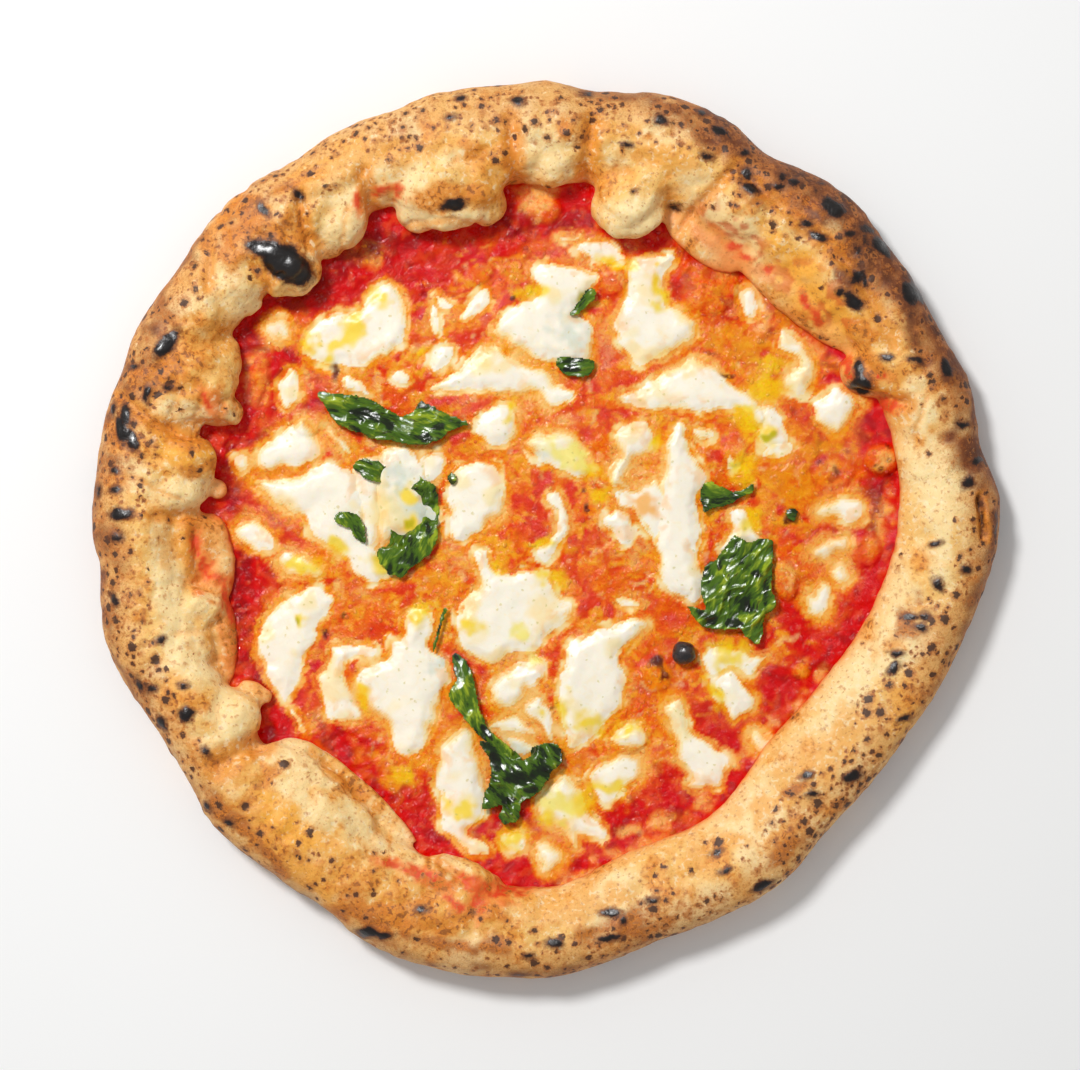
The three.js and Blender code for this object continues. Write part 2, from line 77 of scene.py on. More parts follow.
def lattice(corners: np.ndarray, seed: int) -> np.ndarray:
    """Gives every whole-number place its own random value.

    Args:
        corners: Whole-number places, one row each.
        seed: Another seed gives other values.

    Returns:
        One value from -1 to 1 for each row.
    """
    mixed = np.full(len(corners), (seed * SCRAMBLE[0]) & WORD, np.int64)
    for column, prime in zip(corners.T, LATTICE_PRIMES):
        mixed ^= (column * prime) & WORD
    mixed = ((mixed ^ (mixed >> 15)) * SCRAMBLE[0]) & WORD
    mixed = ((mixed ^ (mixed >> 13)) * SCRAMBLE[1]) & WORD
    return ((mixed ^ (mixed >> 16)) & 0xFFFF) / 32767.5 - 1


def noise(points: Points, size: float, seed: int) -> np.ndarray:
    """Smooth noise.

    Args:
        points: Places in mm, one row each.
        size: Width of its bumps in mm.
        seed: Another seed gives other noise.

    Returns:
        One value from -1 to 1 for each row.
    """
    if points.shape[1] == 2:
        turn = 1.7 * seed
        way = np.array([[math.cos(turn), -math.sin(turn)], [math.sin(turn), math.cos(turn)]])
        points = points @ way
    scaled = points / size + seed * 7.31
    home = np.floor(scaled).astype(np.int64)
    part = scaled - home
    fade = part * part * part * (part * (part * 6 - 15) + 10)
    total = np.zeros(len(points))
    for corner in product((0, 1), repeat=points.shape[1]):
        weight = np.prod(np.where(np.array(corner) == 1, fade, 1 - fade), axis=1)
        total += weight * lattice(home + corner, seed)
    return total


def rough(points: Points, size: float, octaves: int, seed: int) -> np.ndarray:
    """Noise with finer noise on it, each octave half as wide and half as high."""
    return sum(noise(points, size / 2**k, seed + k) / 2**k for k in range(octaves))


def cells(points: Points, size: float, seed: int) -> np.ndarray:
    """Puffs with creases between them.

    Args:
        points: Places in mm, one row each.
        size: Width of a puff in mm.
        seed: Another seed gives other puffs.

    Returns:
        0 in a crease, about 1 in the middle of a puff.
    """
    scaled = points / size + seed * 3.7
    home = np.floor(scaled).astype(np.int64)
    best, second = np.full(len(points), np.inf), np.full(len(points), np.inf)
    for step in product((-1, 0, 1), repeat=points.shape[1]):
        cell = home + step
        jitter = [lattice(cell, seed + axis) for axis in range(points.shape[1])]
        gap = np.linalg.norm(scaled - cell - 0.5 - 0.42 * np.stack(jitter, axis=1), axis=1)
        second = np.minimum(second, np.maximum(best, gap))
        best = np.minimum(best, gap)
    return smooth(0, 0.5, second - best)


def smooth(low: float, high: float, value: np.ndarray) -> np.ndarray:
    """Rises smoothly from 0 at `low` to 1 at `high`, which may be the smaller one."""
    share = np.clip((value - low) / (high - low), 0, 1)
    return share * share * (3 - 2 * share)


def blend(base: np.ndarray, *coats: tuple) -> np.ndarray:
    """Mixes colours over rows of colours.

    Args:
        base: A colour for each place.
        coats: A colour or a named one, and how much of it each place gets, from 0 to 1.

    Returns:
        The new colours.
    """
    for colour, share in coats:
        colour = np.asarray(colour.value if isinstance(colour, Enum) else colour)
        base = base + (colour - base) * share[:, None]
    return base


def turned(points: Points, bearing: float) -> Points:
    """How far along and across a bearing in degrees places are, seen from above."""
    turn = math.radians(bearing)
    return points @ np.array([[math.cos(turn), -math.sin(turn)], [math.sin(turn), math.cos(turn)]])


def away(points: Points, x: float = 0, y: float = 0) -> np.ndarray:
    """Distance in mm from x, y to each place, seen from above."""
    return np.hypot(points[:, 0] - x, points[:, 1] - y)


def bearing_of(points: Points) -> np.ndarray:
    """Bearing in radians of each place from the middle."""
    return np.arctan2(points[:, 1], points[:, 0])


def pushed(points: Points, size: float, *seeds: int) -> Points:
    """A push from -1 to 1 along each axis, one seed for each."""
    return np.stack([noise(points, size, seed) for seed in seeds], axis=1)


def spline(before: np.ndarray, at: np.ndarray, after: np.ndarray, beyond: np.ndarray,
           t: np.ndarray | float) -> np.ndarray:
    """The smooth value between `at` (where `t` is 0) and `after` (where it is 1)."""
    bend = (3 * at - 3 * after + beyond - before) * t + 2 * before - 5 * at + 4 * after - beyond
    return at + t * (after - before + t * bend) / 2


def oval(points: Points, spot: Sequence[float]) -> np.ndarray:
    """How deep places lie in an oval.

    Args:
        points: Places seen from above.
        spot: x, y, half length, half width and, where it is turned, the bearing in degrees.

    Returns:
        1 in the middle, 0 on the edge and negative outside.
    """
    x, y, length, width = spot[:4]
    turn = math.radians(spot[4]) if len(spot) > 4 else 0.0
    across, up = points[:, 0] - x, points[:, 1] - y
    u = (across * math.cos(turn) + up * math.sin(turn)) / length
    v = (up * math.cos(turn) - across * math.sin(turn)) / width
    return 1 - np.sqrt(u * u + v * v)


def round_about(stations: Sequence[float], bearing: np.ndarray) -> np.ndarray:
    """Smooth values all round from evenly spaced stations.

    Args:
        stations: Values counter-clockwise from +X.
        bearing: Bearings in radians.

    Returns:
        The value at each bearing.
    """
    values = np.asarray(stations, float)
    place = (bearing % math.tau / math.tau) % 1 * len(values)
    first = np.floor(place).astype(int)
    near = (values[(first + k) % len(values)] for k in (-1, 0, 1, 2))
    return spline(*near, place - first)


def curve_through(corners: Sequence[Sequence[float]], steps: int = 5) -> Points:
    """A smooth closed line through its corners, seen from above.

    Args:
        corners: x and y of each corner.
        steps: Points for each corner.

    Returns:
        One point a row.
    """
    knots = np.asarray(corners, float)
    rows = []
    for index in range(len(knots)):
        near = [knots[(index + k) % len(knots)] for k in (-1, 0, 1, 2)]
        rows += [spline(*near, step / steps) for step in range(steps)]
    return np.array(rows)


def depth_inside(points: Points, outline: Points) -> np.ndarray:
    """Distance from each place to a closed outline, positive inside it and negative outside."""
    nearest = np.full(len(points), np.inf)
    inside = np.zeros(len(points), bool)
    for start, end in zip(outline, np.roll(outline, -1, axis=0)):
        along = end - start
        offset = points - start
        share = np.clip(offset @ along / max(along @ along, 1e-9), 0, 1)
        nearest = np.minimum(nearest, np.sum((offset - share[:, None] * along) ** 2, axis=1))
        crosses = (start[1] > points[:, 1]) != (end[1] > points[:, 1])
        if abs(along[1]) > 1e-9:
            inside ^= crosses & (offset[:, 0] < offset[:, 1] * along[0] / along[1])
    return np.where(inside, 1, -1) * np.sqrt(nearest)


# ---- Meshes ----


def mesh_object(name: str, points: Points, faces: np.ndarray) -> bpy.types.Object:
    """Makes a smooth-shaded mesh object.

    Args:
        name: The piece's name.
        points: Corners in mm, one row each.
        faces: Corner numbers of each triangle or square, one row each.

    Returns:
        The object, at the origin.
    """
    mesh = bpy.data.meshes.new(name)
    mesh.vertices.add(len(points))
    mesh.vertices.foreach_set("co", (points * MM).astype(np.float32).ravel())
    mesh.loops.add(faces.size)
    mesh.loops.foreach_set("vertex_index", faces.astype(np.int32).ravel())
    mesh.polygons.add(len(faces))
    mesh.polygons.foreach_set("loop_start", np.arange(0, faces.size, faces.shape[1], dtype=np.int32))
    mesh.update(calc_edges=True)
    mesh.validate()
    mesh.shade_smooth()
    piece = bpy.data.objects.new(name, mesh)
    bpy.context.scene.collection.objects.link(piece)
    return piece


def corners_of(mesh: bpy.types.Mesh) -> Points:
    """The corners of a mesh in mm."""
    flat = np.empty(len(mesh.vertices) * 3, np.float32)
    mesh.vertices.foreach_get("co", flat)
    return flat.reshape(-1, 3).astype(float) / MM


def triangles_of(mesh: bpy.types.Mesh) -> np.ndarray:
    """The corner numbers of a mesh's triangles."""
    mesh.calc_loop_triangles()
    flat = np.empty(len(mesh.loop_triangles) * 3, np.int32)
    mesh.loop_triangles.foreach_get("vertices", flat)
    return flat.reshape(-1, 3)


def normals_of(points: Points, faces: np.ndarray) -> Points:
    """The outward direction at each corner of a triangle mesh."""
    a, b, c = (points[faces[:, k]] for k in range(3))
    flat = np.cross(b - a, c - a)
    total = np.stack([
        sum(np.bincount(faces[:, k], flat[:, axis], len(points)) for k in range(3))
        for axis in range(3)
    ], axis=1)
    return total / np.maximum(np.linalg.norm(total, axis=1, keepdims=True), 1e-9)


def relaxed(points: Points, faces: np.ndarray, rounds: int, share: float) -> Points:
    """Moves every corner towards the middle of its neighbours.

    Args:
        points: Corners, one row each; any number of columns.
        faces: Corner numbers of the triangles.
        rounds: How many times.
        share: How far each time, from 0 to 1.

    Returns:
        The moved corners.
    """
    starts = np.concatenate([faces[:, 0], faces[:, 1], faces[:, 2]])
    ends = np.concatenate([faces[:, 1], faces[:, 2], faces[:, 0]])
    count = np.maximum(np.bincount(starts, minlength=len(points)), 1)[:, None]
    for _ in range(rounds):
        around = np.stack([
            np.bincount(starts, points[ends, axis], len(points)) for axis in range(points.shape[1])
        ], axis=1)
        points = points + share * (around / count - points)
    return points


def store(piece: bpy.types.Object, kept: dict[str, np.ndarray]) -> None:
    """Keeps numbers, places or colours at every corner, under the names that a finish reads.

    Args:
        piece: The piece.
        kept: By name, one number, three (a place) or four (a colour) for each corner.
    """
    kinds = {1: ("FLOAT", "value"), 3: ("FLOAT_VECTOR", "vector"), 4: ("FLOAT_COLOR", "color")}
    for name, values in kept.items():
        kind, field = kinds[values.size // len(values)]
        layer = piece.data.attributes.new(name, kind, "POINT")
        layer.data.foreach_set(field, values.astype(np.float32).ravel())


def opaque(colours: np.ndarray) -> np.ndarray:
    """Rows of colours with a full alpha."""
    return np.concatenate([np.clip(colours, 0, 1), np.ones((len(colours), 1))], axis=1)


def primitive(maker: Callable, **sizes: float) -> tuple[Points, np.ndarray]:
    """The corners and triangles of one of Blender's own shapes, in units."""
    maker(**sizes)
    shape = bpy.context.object
    points, faces = corners_of(shape.data) * MM, triangles_of(shape.data)
    bpy.data.objects.remove(shape)
    return points, faces


def unit_ball() -> tuple[Points, np.ndarray]:
    """A fine ball of radius 1."""
    return primitive(bpy.ops.mesh.primitive_ico_sphere_add, subdivisions=5, radius=1)


def plain_mesh(piece: bpy.types.Object) -> bpy.types.Mesh:
    """The mesh of a piece with its modifiers worked out."""
    graph = bpy.context.evaluated_depsgraph_get()
    return bpy.data.meshes.new_from_object(piece.evaluated_get(graph))


def grid(low: Sequence[float], high: Sequence[float], pitch: float) -> tuple[Points, tuple]:
    """The places of a square grid, one row each, and its rows and columns."""
    x, y = np.meshgrid(np.arange(low[0], high[0], pitch), np.arange(low[1], high[1], pitch))
    return np.stack([x.ravel(), y.ravel()], axis=1), x.shape


def slab(name: str, flat: Points, shape: tuple[int, int], inside: np.ndarray, top: np.ndarray,
         under: np.ndarray, fan: bool = False) -> bpy.types.Object:
    """Closes the squares of a grid that lie inside an outline into a solid.

    Args:
        name: The piece's name.
        flat: The grid's places.
        shape: Its rows and columns.
        inside: Which places are inside.
        top: Upper height of each place in mm.
        under: Lower height of each place.
        fan: Whether the underside is only a fan from its middle, as under a round layer.

    Returns:
        The closed piece.
    """
    number = np.arange(len(flat)).reshape(shape)
    quads = [number[:-1, :-1], number[:-1, 1:], number[1:, 1:], number[1:, :-1]]
    kept = np.all([inside[corner] for corner in quads], axis=0)
    a, b, c, d = (corner[kept] for corner in quads)
    upper = np.concatenate([np.stack([a, b, c], 1), np.stack([a, c, d], 1)])
    padded = np.pad(kept, 1)
    open_sides = [
        kept & ~padded[:-2, 1:-1], kept & ~padded[1:-1, 2:],
        kept & ~padded[2:, 1:-1], kept & ~padded[1:-1, :-2],
    ]
    edges = np.concatenate([
        np.stack([quads[k][side], quads[(k + 1) % 4][side]], 1)
        for k, side in enumerate(open_sides)
    ])
    start, end = edges.T
    lift = len(flat)
    walls = np.concatenate([
        np.stack([start, start + lift, end + lift], 1), np.stack([start, end + lift, end], 1),
    ])
    points = np.concatenate([np.column_stack([flat, top]), np.column_stack([flat, under])])
    if fan:
        points = np.concatenate([points, [[0, 0, under.min()]]])
        hub = np.full(len(start), len(points) - 1)
        lower = np.stack([start + lift, hub, end + lift], 1)
    else:
        lower = upper[:, ::-1] + lift
    faces = np.concatenate([upper, walls, lower])
    used, faces = np.unique(faces, return_inverse=True)
    return mesh_object(name, points[used], faces.reshape(-1, 3))


def hand_over(piece: bpy.types.Object, material: bpy.types.Material,
              nodes: Sequence[str] = ()) -> None:
    """Dresses a finished piece and gives it to the frame.

    Args:
        piece: The piece, in place.
        material: Its finish.
        nodes: The CAD nodes it stands for.
    """
    piece.data.materials.clear()
    piece.data.materials.append(material)
    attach(piece, "root")
    if nodes:
        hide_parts(*nodes)
    log.info("%s: %d faces", piece.name, len(piece.data.polygons))


# ---- Shader building ----


class Wire:
    """A node's output, which can be used in an expression."""

    def __init__(self, board: "Board", socket: bpy.types.NodeSocket) -> None:
        """Wraps one output of a board's node."""
        self.board = board
        self.socket = socket

    def _maths(self, operation: str, *values: "Wire | float") -> "Wire":
        """Adds a Math node over the values."""
        inputs = dict(enumerate(values))
        return self.board.add("ShaderNodeMath", {"operation": operation}, inputs)

    def __add__(self, other: "Wire | float") -> "Wire":
        """Sum."""
        return self._maths("ADD", self, other)

    def __sub__(self, other: "Wire | float") -> "Wire":
        """Difference."""
        return self._maths("SUBTRACT", self, other)

    def __rsub__(self, other: float) -> "Wire":
        """Difference from a number."""
        return self._maths("SUBTRACT", other, self)

    def __mul__(self, other: "Wire | float") -> "Wire":
        """Product."""
        return self._maths("MULTIPLY", self, other)

    __radd__ = __add__
    __rmul__ = __mul__


class Board:
    """The nodes of one material."""

    def __init__(self, name: str) -> None:
        """Starts an empty material."""
        self.material = bpy.data.materials.new(name)
        self.material.use_nodes = True
        self.tree = self.material.node_tree
        self.tree.nodes.clear()
        self.place = self.add("ShaderNodeTexCoord", {}, {}, "Object")

    def add(self, kind: str, settings: dict, inputs: dict, output: int | str = 0) -> Wire:
        """Adds one node.

        Args:
            kind: The node's type.
            settings: Its settings, set first.
            inputs: Values or wires by the socket's name or number.
            output: The name or number of the output wanted.

        Returns:
            That output.
        """
        node = self.tree.nodes.new(kind)
        for key, value in settings.items():
            setattr(node, key, value)
        for key, value in inputs.items():
            if isinstance(value, Wire):
                self.tree.links.new(value.socket, node.inputs[key])
            elif isinstance(value, tuple) and len(value) == 3 and node.inputs[key].type == "RGBA":
                node.inputs[key].default_value = (*value, 1.0)
            else:
                node.inputs[key].default_value = value
        return Wire(self, node.outputs[output])

    def held(self, name: str, output: str = "Fac") -> Wire:
        """What a piece keeps at its corners under a name."""
        return self.add("ShaderNodeAttribute", {"attribute_name": name}, {}, output)

    def cloud(self, size: float, detail: float = 2, warp: float = 0,
              place: Wire | None = None) -> Wire:
        """Noise from 0 to 1 with bumps of a size in mm."""
        inputs = {"Vector": place or self.place, "Scale": 1 / (size * MM), "Detail": detail,
                  "Distortion": warp}
        return self.add("ShaderNodeTexNoise", {}, inputs)

    def swayed(self, size: float, far: float) -> Wire:
        """The place pushed about `far` mm by noise with bumps of a size in mm."""
        inputs = {"Vector": self.place, "Scale": 1 / (size * MM), "Detail": 2.0}
        push = self.add("ShaderNodeTexNoise", {}, inputs, "Color")
        push = self.add("ShaderNodeVectorMath", {"operation": "SUBTRACT"}, {0: push, 1: (0.5,) * 3})
        settings = {"operation": "MULTIPLY_ADD"}
        inputs = {0: push, 1: (4 * far * MM,) * 3, 2: self.place}
        return self.add("ShaderNodeVectorMath", settings, inputs)

    def dots(self, size: float, output: str = "Distance", place: Wire | None = None) -> Wire:
        """Distance to the nearest of scattered points, about a size in mm apart, in cells."""
        inputs = {"Vector": place or self.place, "Scale": 1 / (size * MM)}
        return self.add("ShaderNodeTexVoronoi", {}, inputs, output)

    def band(self, value: Wire, low: float, high: float) -> Wire:
        """Rises smoothly from 0 at `low` to 1 at `high`."""
        inputs = {"Value": value, "From Min": low, "From Max": high}
        if low > high:
            inputs |= {"From Min": high, "From Max": low, "To Min": 1.0, "To Max": 0.0}
        return self.add("ShaderNodeMapRange", {"interpolation_type": "SMOOTHSTEP"}, inputs)

    def mix(self, share: Wire | float, low: Wire | Colour, high: Wire | Colour) -> Wire:
        """Mixes two colours."""
        return self.add("ShaderNodeMix", {"data_type": "RGBA"}, {0: share, 6: low, 7: high}, 2)

    def tint(self, share: Wire | float, low: Wire | Colour, high: Wire | Colour) -> Wire:
        """Multiplies one colour by another."""
        settings = {"data_type": "RGBA", "blend_type": "MULTIPLY"}
        return self.add("ShaderNodeMix", settings, {0: share, 6: low, 7: high}, 2)

    def bump(self, height: Wire, distance: float, strength: float = 1) -> Wire:
        """A normal from a height from 0 to 1, that many mm high."""
        inputs = {"Height": height, "Distance": distance * MM, "Strength": strength}
        return self.add("ShaderNodeBump", {}, inputs, "Normal")

    def finish(self, inputs: dict) -> bpy.types.Material:
        """Closes the material with a principled shader and these inputs."""
        shader = self.add("ShaderNodeBsdfPrincipled", {}, inputs, "BSDF")
        end = self.tree.nodes.new("ShaderNodeOutputMaterial")
        self.tree.links.new(shader.socket, end.inputs["Surface"])
        return self.material


class Growth(Board):
    """The nodes of a tree that scatters small things over a piece."""

    def __init__(self, name: str, kinds: dict[str, str]) -> None:
        """Starts a tree.

        Args:
            name: Its name.
            kinds: The kind of socket of each input.
        """
        self.tree = bpy.data.node_groups.new(name, "GeometryNodeTree")
        sockets = self.tree.interface
        sockets.new_socket(name="Geometry", in_out="INPUT", socket_type="NodeSocketGeometry")
        self.labels = {
            label: sockets.new_socket(name=label, in_out="INPUT", socket_type=kind).identifier
            for label, kind in kinds.items()
        }
        sockets.new_socket(name="Geometry", in_out="OUTPUT", socket_type="NodeSocketGeometry")
        self.start = self.tree.nodes.new("NodeGroupInput")

    def given(self, label: str) -> Wire:
        """One of the tree's inputs."""
        return Wire(self, self.start.outputs[label])

    def grown(self, piece: bpy.types.Object, name: str, values: dict, result: Wire) -> bpy.types.Object:
        """Runs the tree over a piece and keeps what it makes as a piece of its own.

        Args:
            piece: What the small things lie on; it stays as it is.
            name: The new piece's name.
            values: The value of each input.
            result: The geometry at the end of the tree.

        Returns:
            The new piece.
        """
        end = self.tree.nodes.new("NodeGroupOutput")
        self.tree.links.new(result.socket, end.inputs[0])
        modifier = piece.modifiers.new(name, "NODES")
        modifier.node_group = self.tree
        for label, value in values.items():
            modifier[self.labels[label]] = value
        mesh = plain_mesh(piece)
        piece.modifiers.remove(modifier)
        grown = bpy.data.objects.new(name, mesh)
        bpy.context.scene.collection.objects.link(grown)
        return grown


# ---- Finishes ----


@dataclass(frozen=True)
class CrustFinish:
    """Baked dough: mottled, speckled like a leopard and burnt black in places."""

    toast: Colour = (0.84, 0.64, 0.4)
    umber: Colour = (0.5, 0.34, 0.22)
    flour: Colour = srgb(254, 232, 186)
    amber: Colour = srgb(222, 134, 42)
    halo: Colour = srgb(192, 116, 52)
    freckle: Colour = srgb(140, 78, 34)
    speck: Colour = srgb(72, 38, 22)
    scorch: Colour = srgb(112, 60, 28)
    ember: Colour = srgb(56, 34, 26)
    coal: Colour = srgb(26, 21, 20)

    def material(self) -> bpy.types.Material:
        """Builds it from what the dough keeps at its corners."""
        b = Board("crust")
        baked, specks, burn = b.held("baked"), b.held("specks"), b.held("burn")
        crisp, dusty = b.held("crisp"), b.held("dusty")
        grain, fine, curl = b.cloud(2.6, 4, 0.6), b.cloud(0.8, 3), b.cloud(1.9, 6, 0.5)
        base = b.held("tone", "Color")
        floury = b.band(curl + baked * 0.1 + crisp * 0.14, 0.5, 0.32) * 0.7 * dusty
        base = b.mix(floury, base, self.flour)
        toasted = b.band(grain + baked * 0.2 + crisp * 0.06, 0.52, 0.78)
        base = b.tint(toasted * (baked * 0.35 + crisp * 0.25 + 0.3), base, self.toast)
        base = b.mix(b.band(curl + baked * 0.16, 0.6, 0.7) * (baked * 0.7 + 0.1), base, self.amber)
        base = b.mix(b.band(curl + baked * 0.14, 0.68, 0.76) * baked * 0.6, base, self.scorch)
        base = b.tint(b.band(fine + crisp * 0.12, 0.54, 0.7) * (crisp * 0.45 + 0.15), base, self.toast)
        base = b.tint(b.band(fine, 0.46, 0.3) * crisp * 0.5, base, self.toast)
        sand = b.band(b.cloud(0.55, 2) + (curl - 0.5) * 0.6, 0.56, 0.66)
        base = b.tint(sand * (crisp * 0.6 + baked * 0.12), base, self.umber)
        place = b.swayed(1.3, 0.5)
        for size, density, core in (
            (1.9, specks * 0.6 - 0.12, self.freckle), (2.9, specks * 0.8 - 0.1, self.speck),
            (4.6, specks * 1.1 - 0.2, self.ember),
        ):
            inside = self._spots(b, size, density, place) + (fine - 0.5) * 0.34
            base = b.mix(b.band(inside, -0.28, 0.0) * 0.7, base, self.halo)
            base = b.mix(b.band(inside, -0.02, 0.12) * 0.9, base, core)
        edge = burn + (grain - 0.5) * 1.9 + (fine - 0.5) * 1.3
        coal = b.band(edge, -0.1, 0.6)
        base = b.mix(b.band(edge, -1.8, 0.3) * 0.85, base, self.scorch)
        base = b.mix(coal, base, b.mix(b.band(edge, 0.2, 1.5), self.ember, self.coal))
        return b.finish({
            "Base Color": base,
            "Roughness": 0.6 - coal * 0.26 + (grain - 0.5) * 0.15,
            "Specular IOR Level": 0.3,
            "Coat Weight": b.band(burn, 1.3, 2.7) * 0.45,
            "Coat Roughness": 0.22,
            "Normal": b.bump(grain * 0.6 + curl * 0.25 + fine * 0.2, 0.55),
            "Subsurface Weight": 0.12,
            "Subsurface Radius": (1.0, 0.5, 0.25),
            "Subsurface Scale": 1.2 * MM,
        })

    @staticmethod
    def _spots(b: Board, size: float, density: Wire, place: Wire) -> Wire:
        """Uneven ragged spots, more of them where `density` is high, positive inside."""
        own = b.dots(size, "Color", place)
        chance = b.add("ShaderNodeSeparateColor", {}, {"Color": own}, "Red")
        width = b.add("ShaderNodeSeparateColor", {}, {"Color": own}, "Green")
        wanted = b.band(density - chance, 0.0, 0.06)
        return wanted * (width * 0.28 + 0.15) - b.dots(size, place=place)


@dataclass(frozen=True)
class WetFinish:
    """The wet middle: crushed tomato and melted cheese alike, and the oil on both."""

    name: str
    pulp_shade: Colour = (0.95, 0.5, 0.28)
    curd_shade: Colour = (1.0, 0.95, 0.84)
    glow: Colour = srgb(253, 172, 30)
    fleck: Colour = srgb(206, 190, 96)
    coat: float = 0.0

    def material(self) -> bpy.types.Material:
        """Builds it from the tone, oil, glow and milk that a piece keeps at its corners."""
        b = Board(self.name)
        oil, milk = b.held("oil"), b.held("milk")
        pulp, curd, drops = b.cloud(1.4, 4, 0.8), b.cloud(3.0, 4, 0.8), b.cloud(3.6, 3, 0.5)
        fine = b.cloud(0.8, 2)
        red = 1 - milk
        base = b.held("tone", "Color")
        base = b.tint(b.band(pulp, 0.52, 0.32) * (0.85 - oil * 0.45) * red, base, self.pulp_shade)
        base = b.tint(b.band(fine, 0.46, 0.32) * (0.45 - oil * 0.2) * red, base, self.pulp_shade)
        base = b.tint(b.band(curd, 0.5, 0.3) * milk * 0.6, base, self.curd_shade)
        light = b.band(pulp * 0.6 + drops * 0.4, 0.54, 0.68) * b.held("glow") * red * 0.6
        base = b.mix(light, base, self.glow)
        place = b.swayed(1.4, 0.35)
        spots = b.band(b.dots(3.4, place=place) + (fine - 0.5) * 0.2, 0.2, 0.08)
        base = b.mix(spots * milk * 0.5, base, self.fleck)
        beads = b.band(b.dots(2.3, place=place) + (fine - 0.5) * 0.3, 0.3, 0.12)
        base = b.mix(beads * b.held("glow") * red * 0.5, base, self.glow)
        relief = (pulp - 0.5) * 0.45 + (drops - 0.5) * 0.9 + (fine - 0.5) * 0.14 * red
        relief = relief * (1 - oil * 0.4) * (1 - milk * 0.84)
        return b.finish({
            "Base Color": base,
            "Roughness": 0.09 + milk * 0.19 + (drops - 0.5) * 0.16 - oil * 0.03,
            "Specular IOR Level": 0.15,
            "Coat Weight": self.coat,
            "Coat Roughness": 0.05,
            "Normal": b.bump(relief, 1.0),
            "Subsurface Weight": 0.15,
            "Subsurface Radius": (1.0, 0.45, 0.25),
            "Subsurface Scale": 1.0 * MM,
        })


@dataclass(frozen=True)
class LeafFinish:
    """Cooked basil: glossy, with painted highlight that makes its ridges bright green and painted shade
    that makes its folds nearly black.
    """

    # Painted highlight on the ridges, the leaf's own green, painted shade in the folds, and burnt
    # black.
    light: Colour = srgb(160, 180, 36)
    green: Colour = srgb(72, 106, 12)
    deep: Colour = srgb(22, 40, 4)
    black: Colour = srgb(16, 18, 8)

    def material(self) -> bpy.types.Material:
        """Builds it from the ridge height and the wilt that a leaf keeps at its corners."""
        b = Board("leaf")
        ridge, wilt, run = b.held("ridge"), b.held("wilt"), b.held("run", "Vector")
        vein, streak, fine = b.cloud(1.9, 4, 0.6, run), b.cloud(0.9, 4, 0.5, run), b.cloud(0.7, 2)
        # The ridge height gives painted highlight and painted shade; the veins, streaks and wilt are
        # the leaf's own.
        light = ridge * 0.7 + (vein - 0.5) * 1.5 + (streak - 0.5) * 0.9 - wilt * 0.4 + 0.12
        base = b.mix(b.band(light, 0.05, 0.42), self.deep, self.green)
        base = b.mix(b.band(light, 0.46, 0.95), base, self.light)
        burnt = b.band(wilt * 0.85 + (vein - 0.5) * 2.2 + (streak - 0.5) * 1.8, 0.5, 0.9)
        base = b.mix(burnt * 0.9, base, self.black)
        return b.finish({
            "Base Color": base,
            "Roughness": 0.19 + (fine - 0.5) * 0.2,
            "Specular IOR Level": 0.42,
            "Normal": b.bump(vein * 0.6 + streak * 0.25 + fine * 0.1, 0.5),
        })


@dataclass(frozen=True)
class PlainFinish:
    """One colour with a little unevenness, for the bead, the flakes and the floor."""

    name: str
    colour: Colour
    second: Colour
    size: float
    roughness: float
    relief: float = 0.1

    def material(self) -> bpy.types.Material:
        """Builds it from noise alone."""
        b = Board(self.name)
        patch = b.cloud(self.size, 3)
        return b.finish({
            "Base Color": b.mix(b.band(patch, 0.35, 0.65), self.colour, self.second),
            "Roughness": self.roughness + (patch - 0.5) * 0.15,
            "Normal": b.bump(patch, self.relief),
        })


# ---- Dough ----


class Baked(Enum):
    """The colours of baked dough."""

    PALE = srgb(255, 226, 164)
    CREAM = srgb(248, 197, 112)
    GOLD = srgb(243, 172, 72)
    AMBER = srgb(233, 150, 46)
    HONEY = srgb(251, 178, 60)
    TAN = srgb(220, 160, 98)
    BROWN = srgb(140, 78, 36)
    DARK = srgb(76, 42, 24)
    RED = srgb(224, 46, 10)
    ORANGE = srgb(242, 126, 44)
    RUST = srgb(208, 78, 26)
    PEACH = srgb(247, 182, 104)
    SCORCH = srgb(178, 104, 46)


@dataclass(frozen=True)
class Lobe:
    """A puffed part of the rim: centre, half sizes, height of the centre and bearing."""

    x: float
    y: float
    half: tuple[float, float, float]
    centre: float
    bearing: float = 0

    def placed(self, ball: Points) -> Points:
        """The corners of a unit ball turned into this lobe."""
        turn = math.radians(self.bearing)
        along, across, up = (ball * self.half).T
        x = self.x + along * math.cos(turn) - across * math.sin(turn)
        y = self.y + along * math.sin(turn) + across * math.cos(turn)
        return np.stack([x, y, self.centre + up], axis=1)


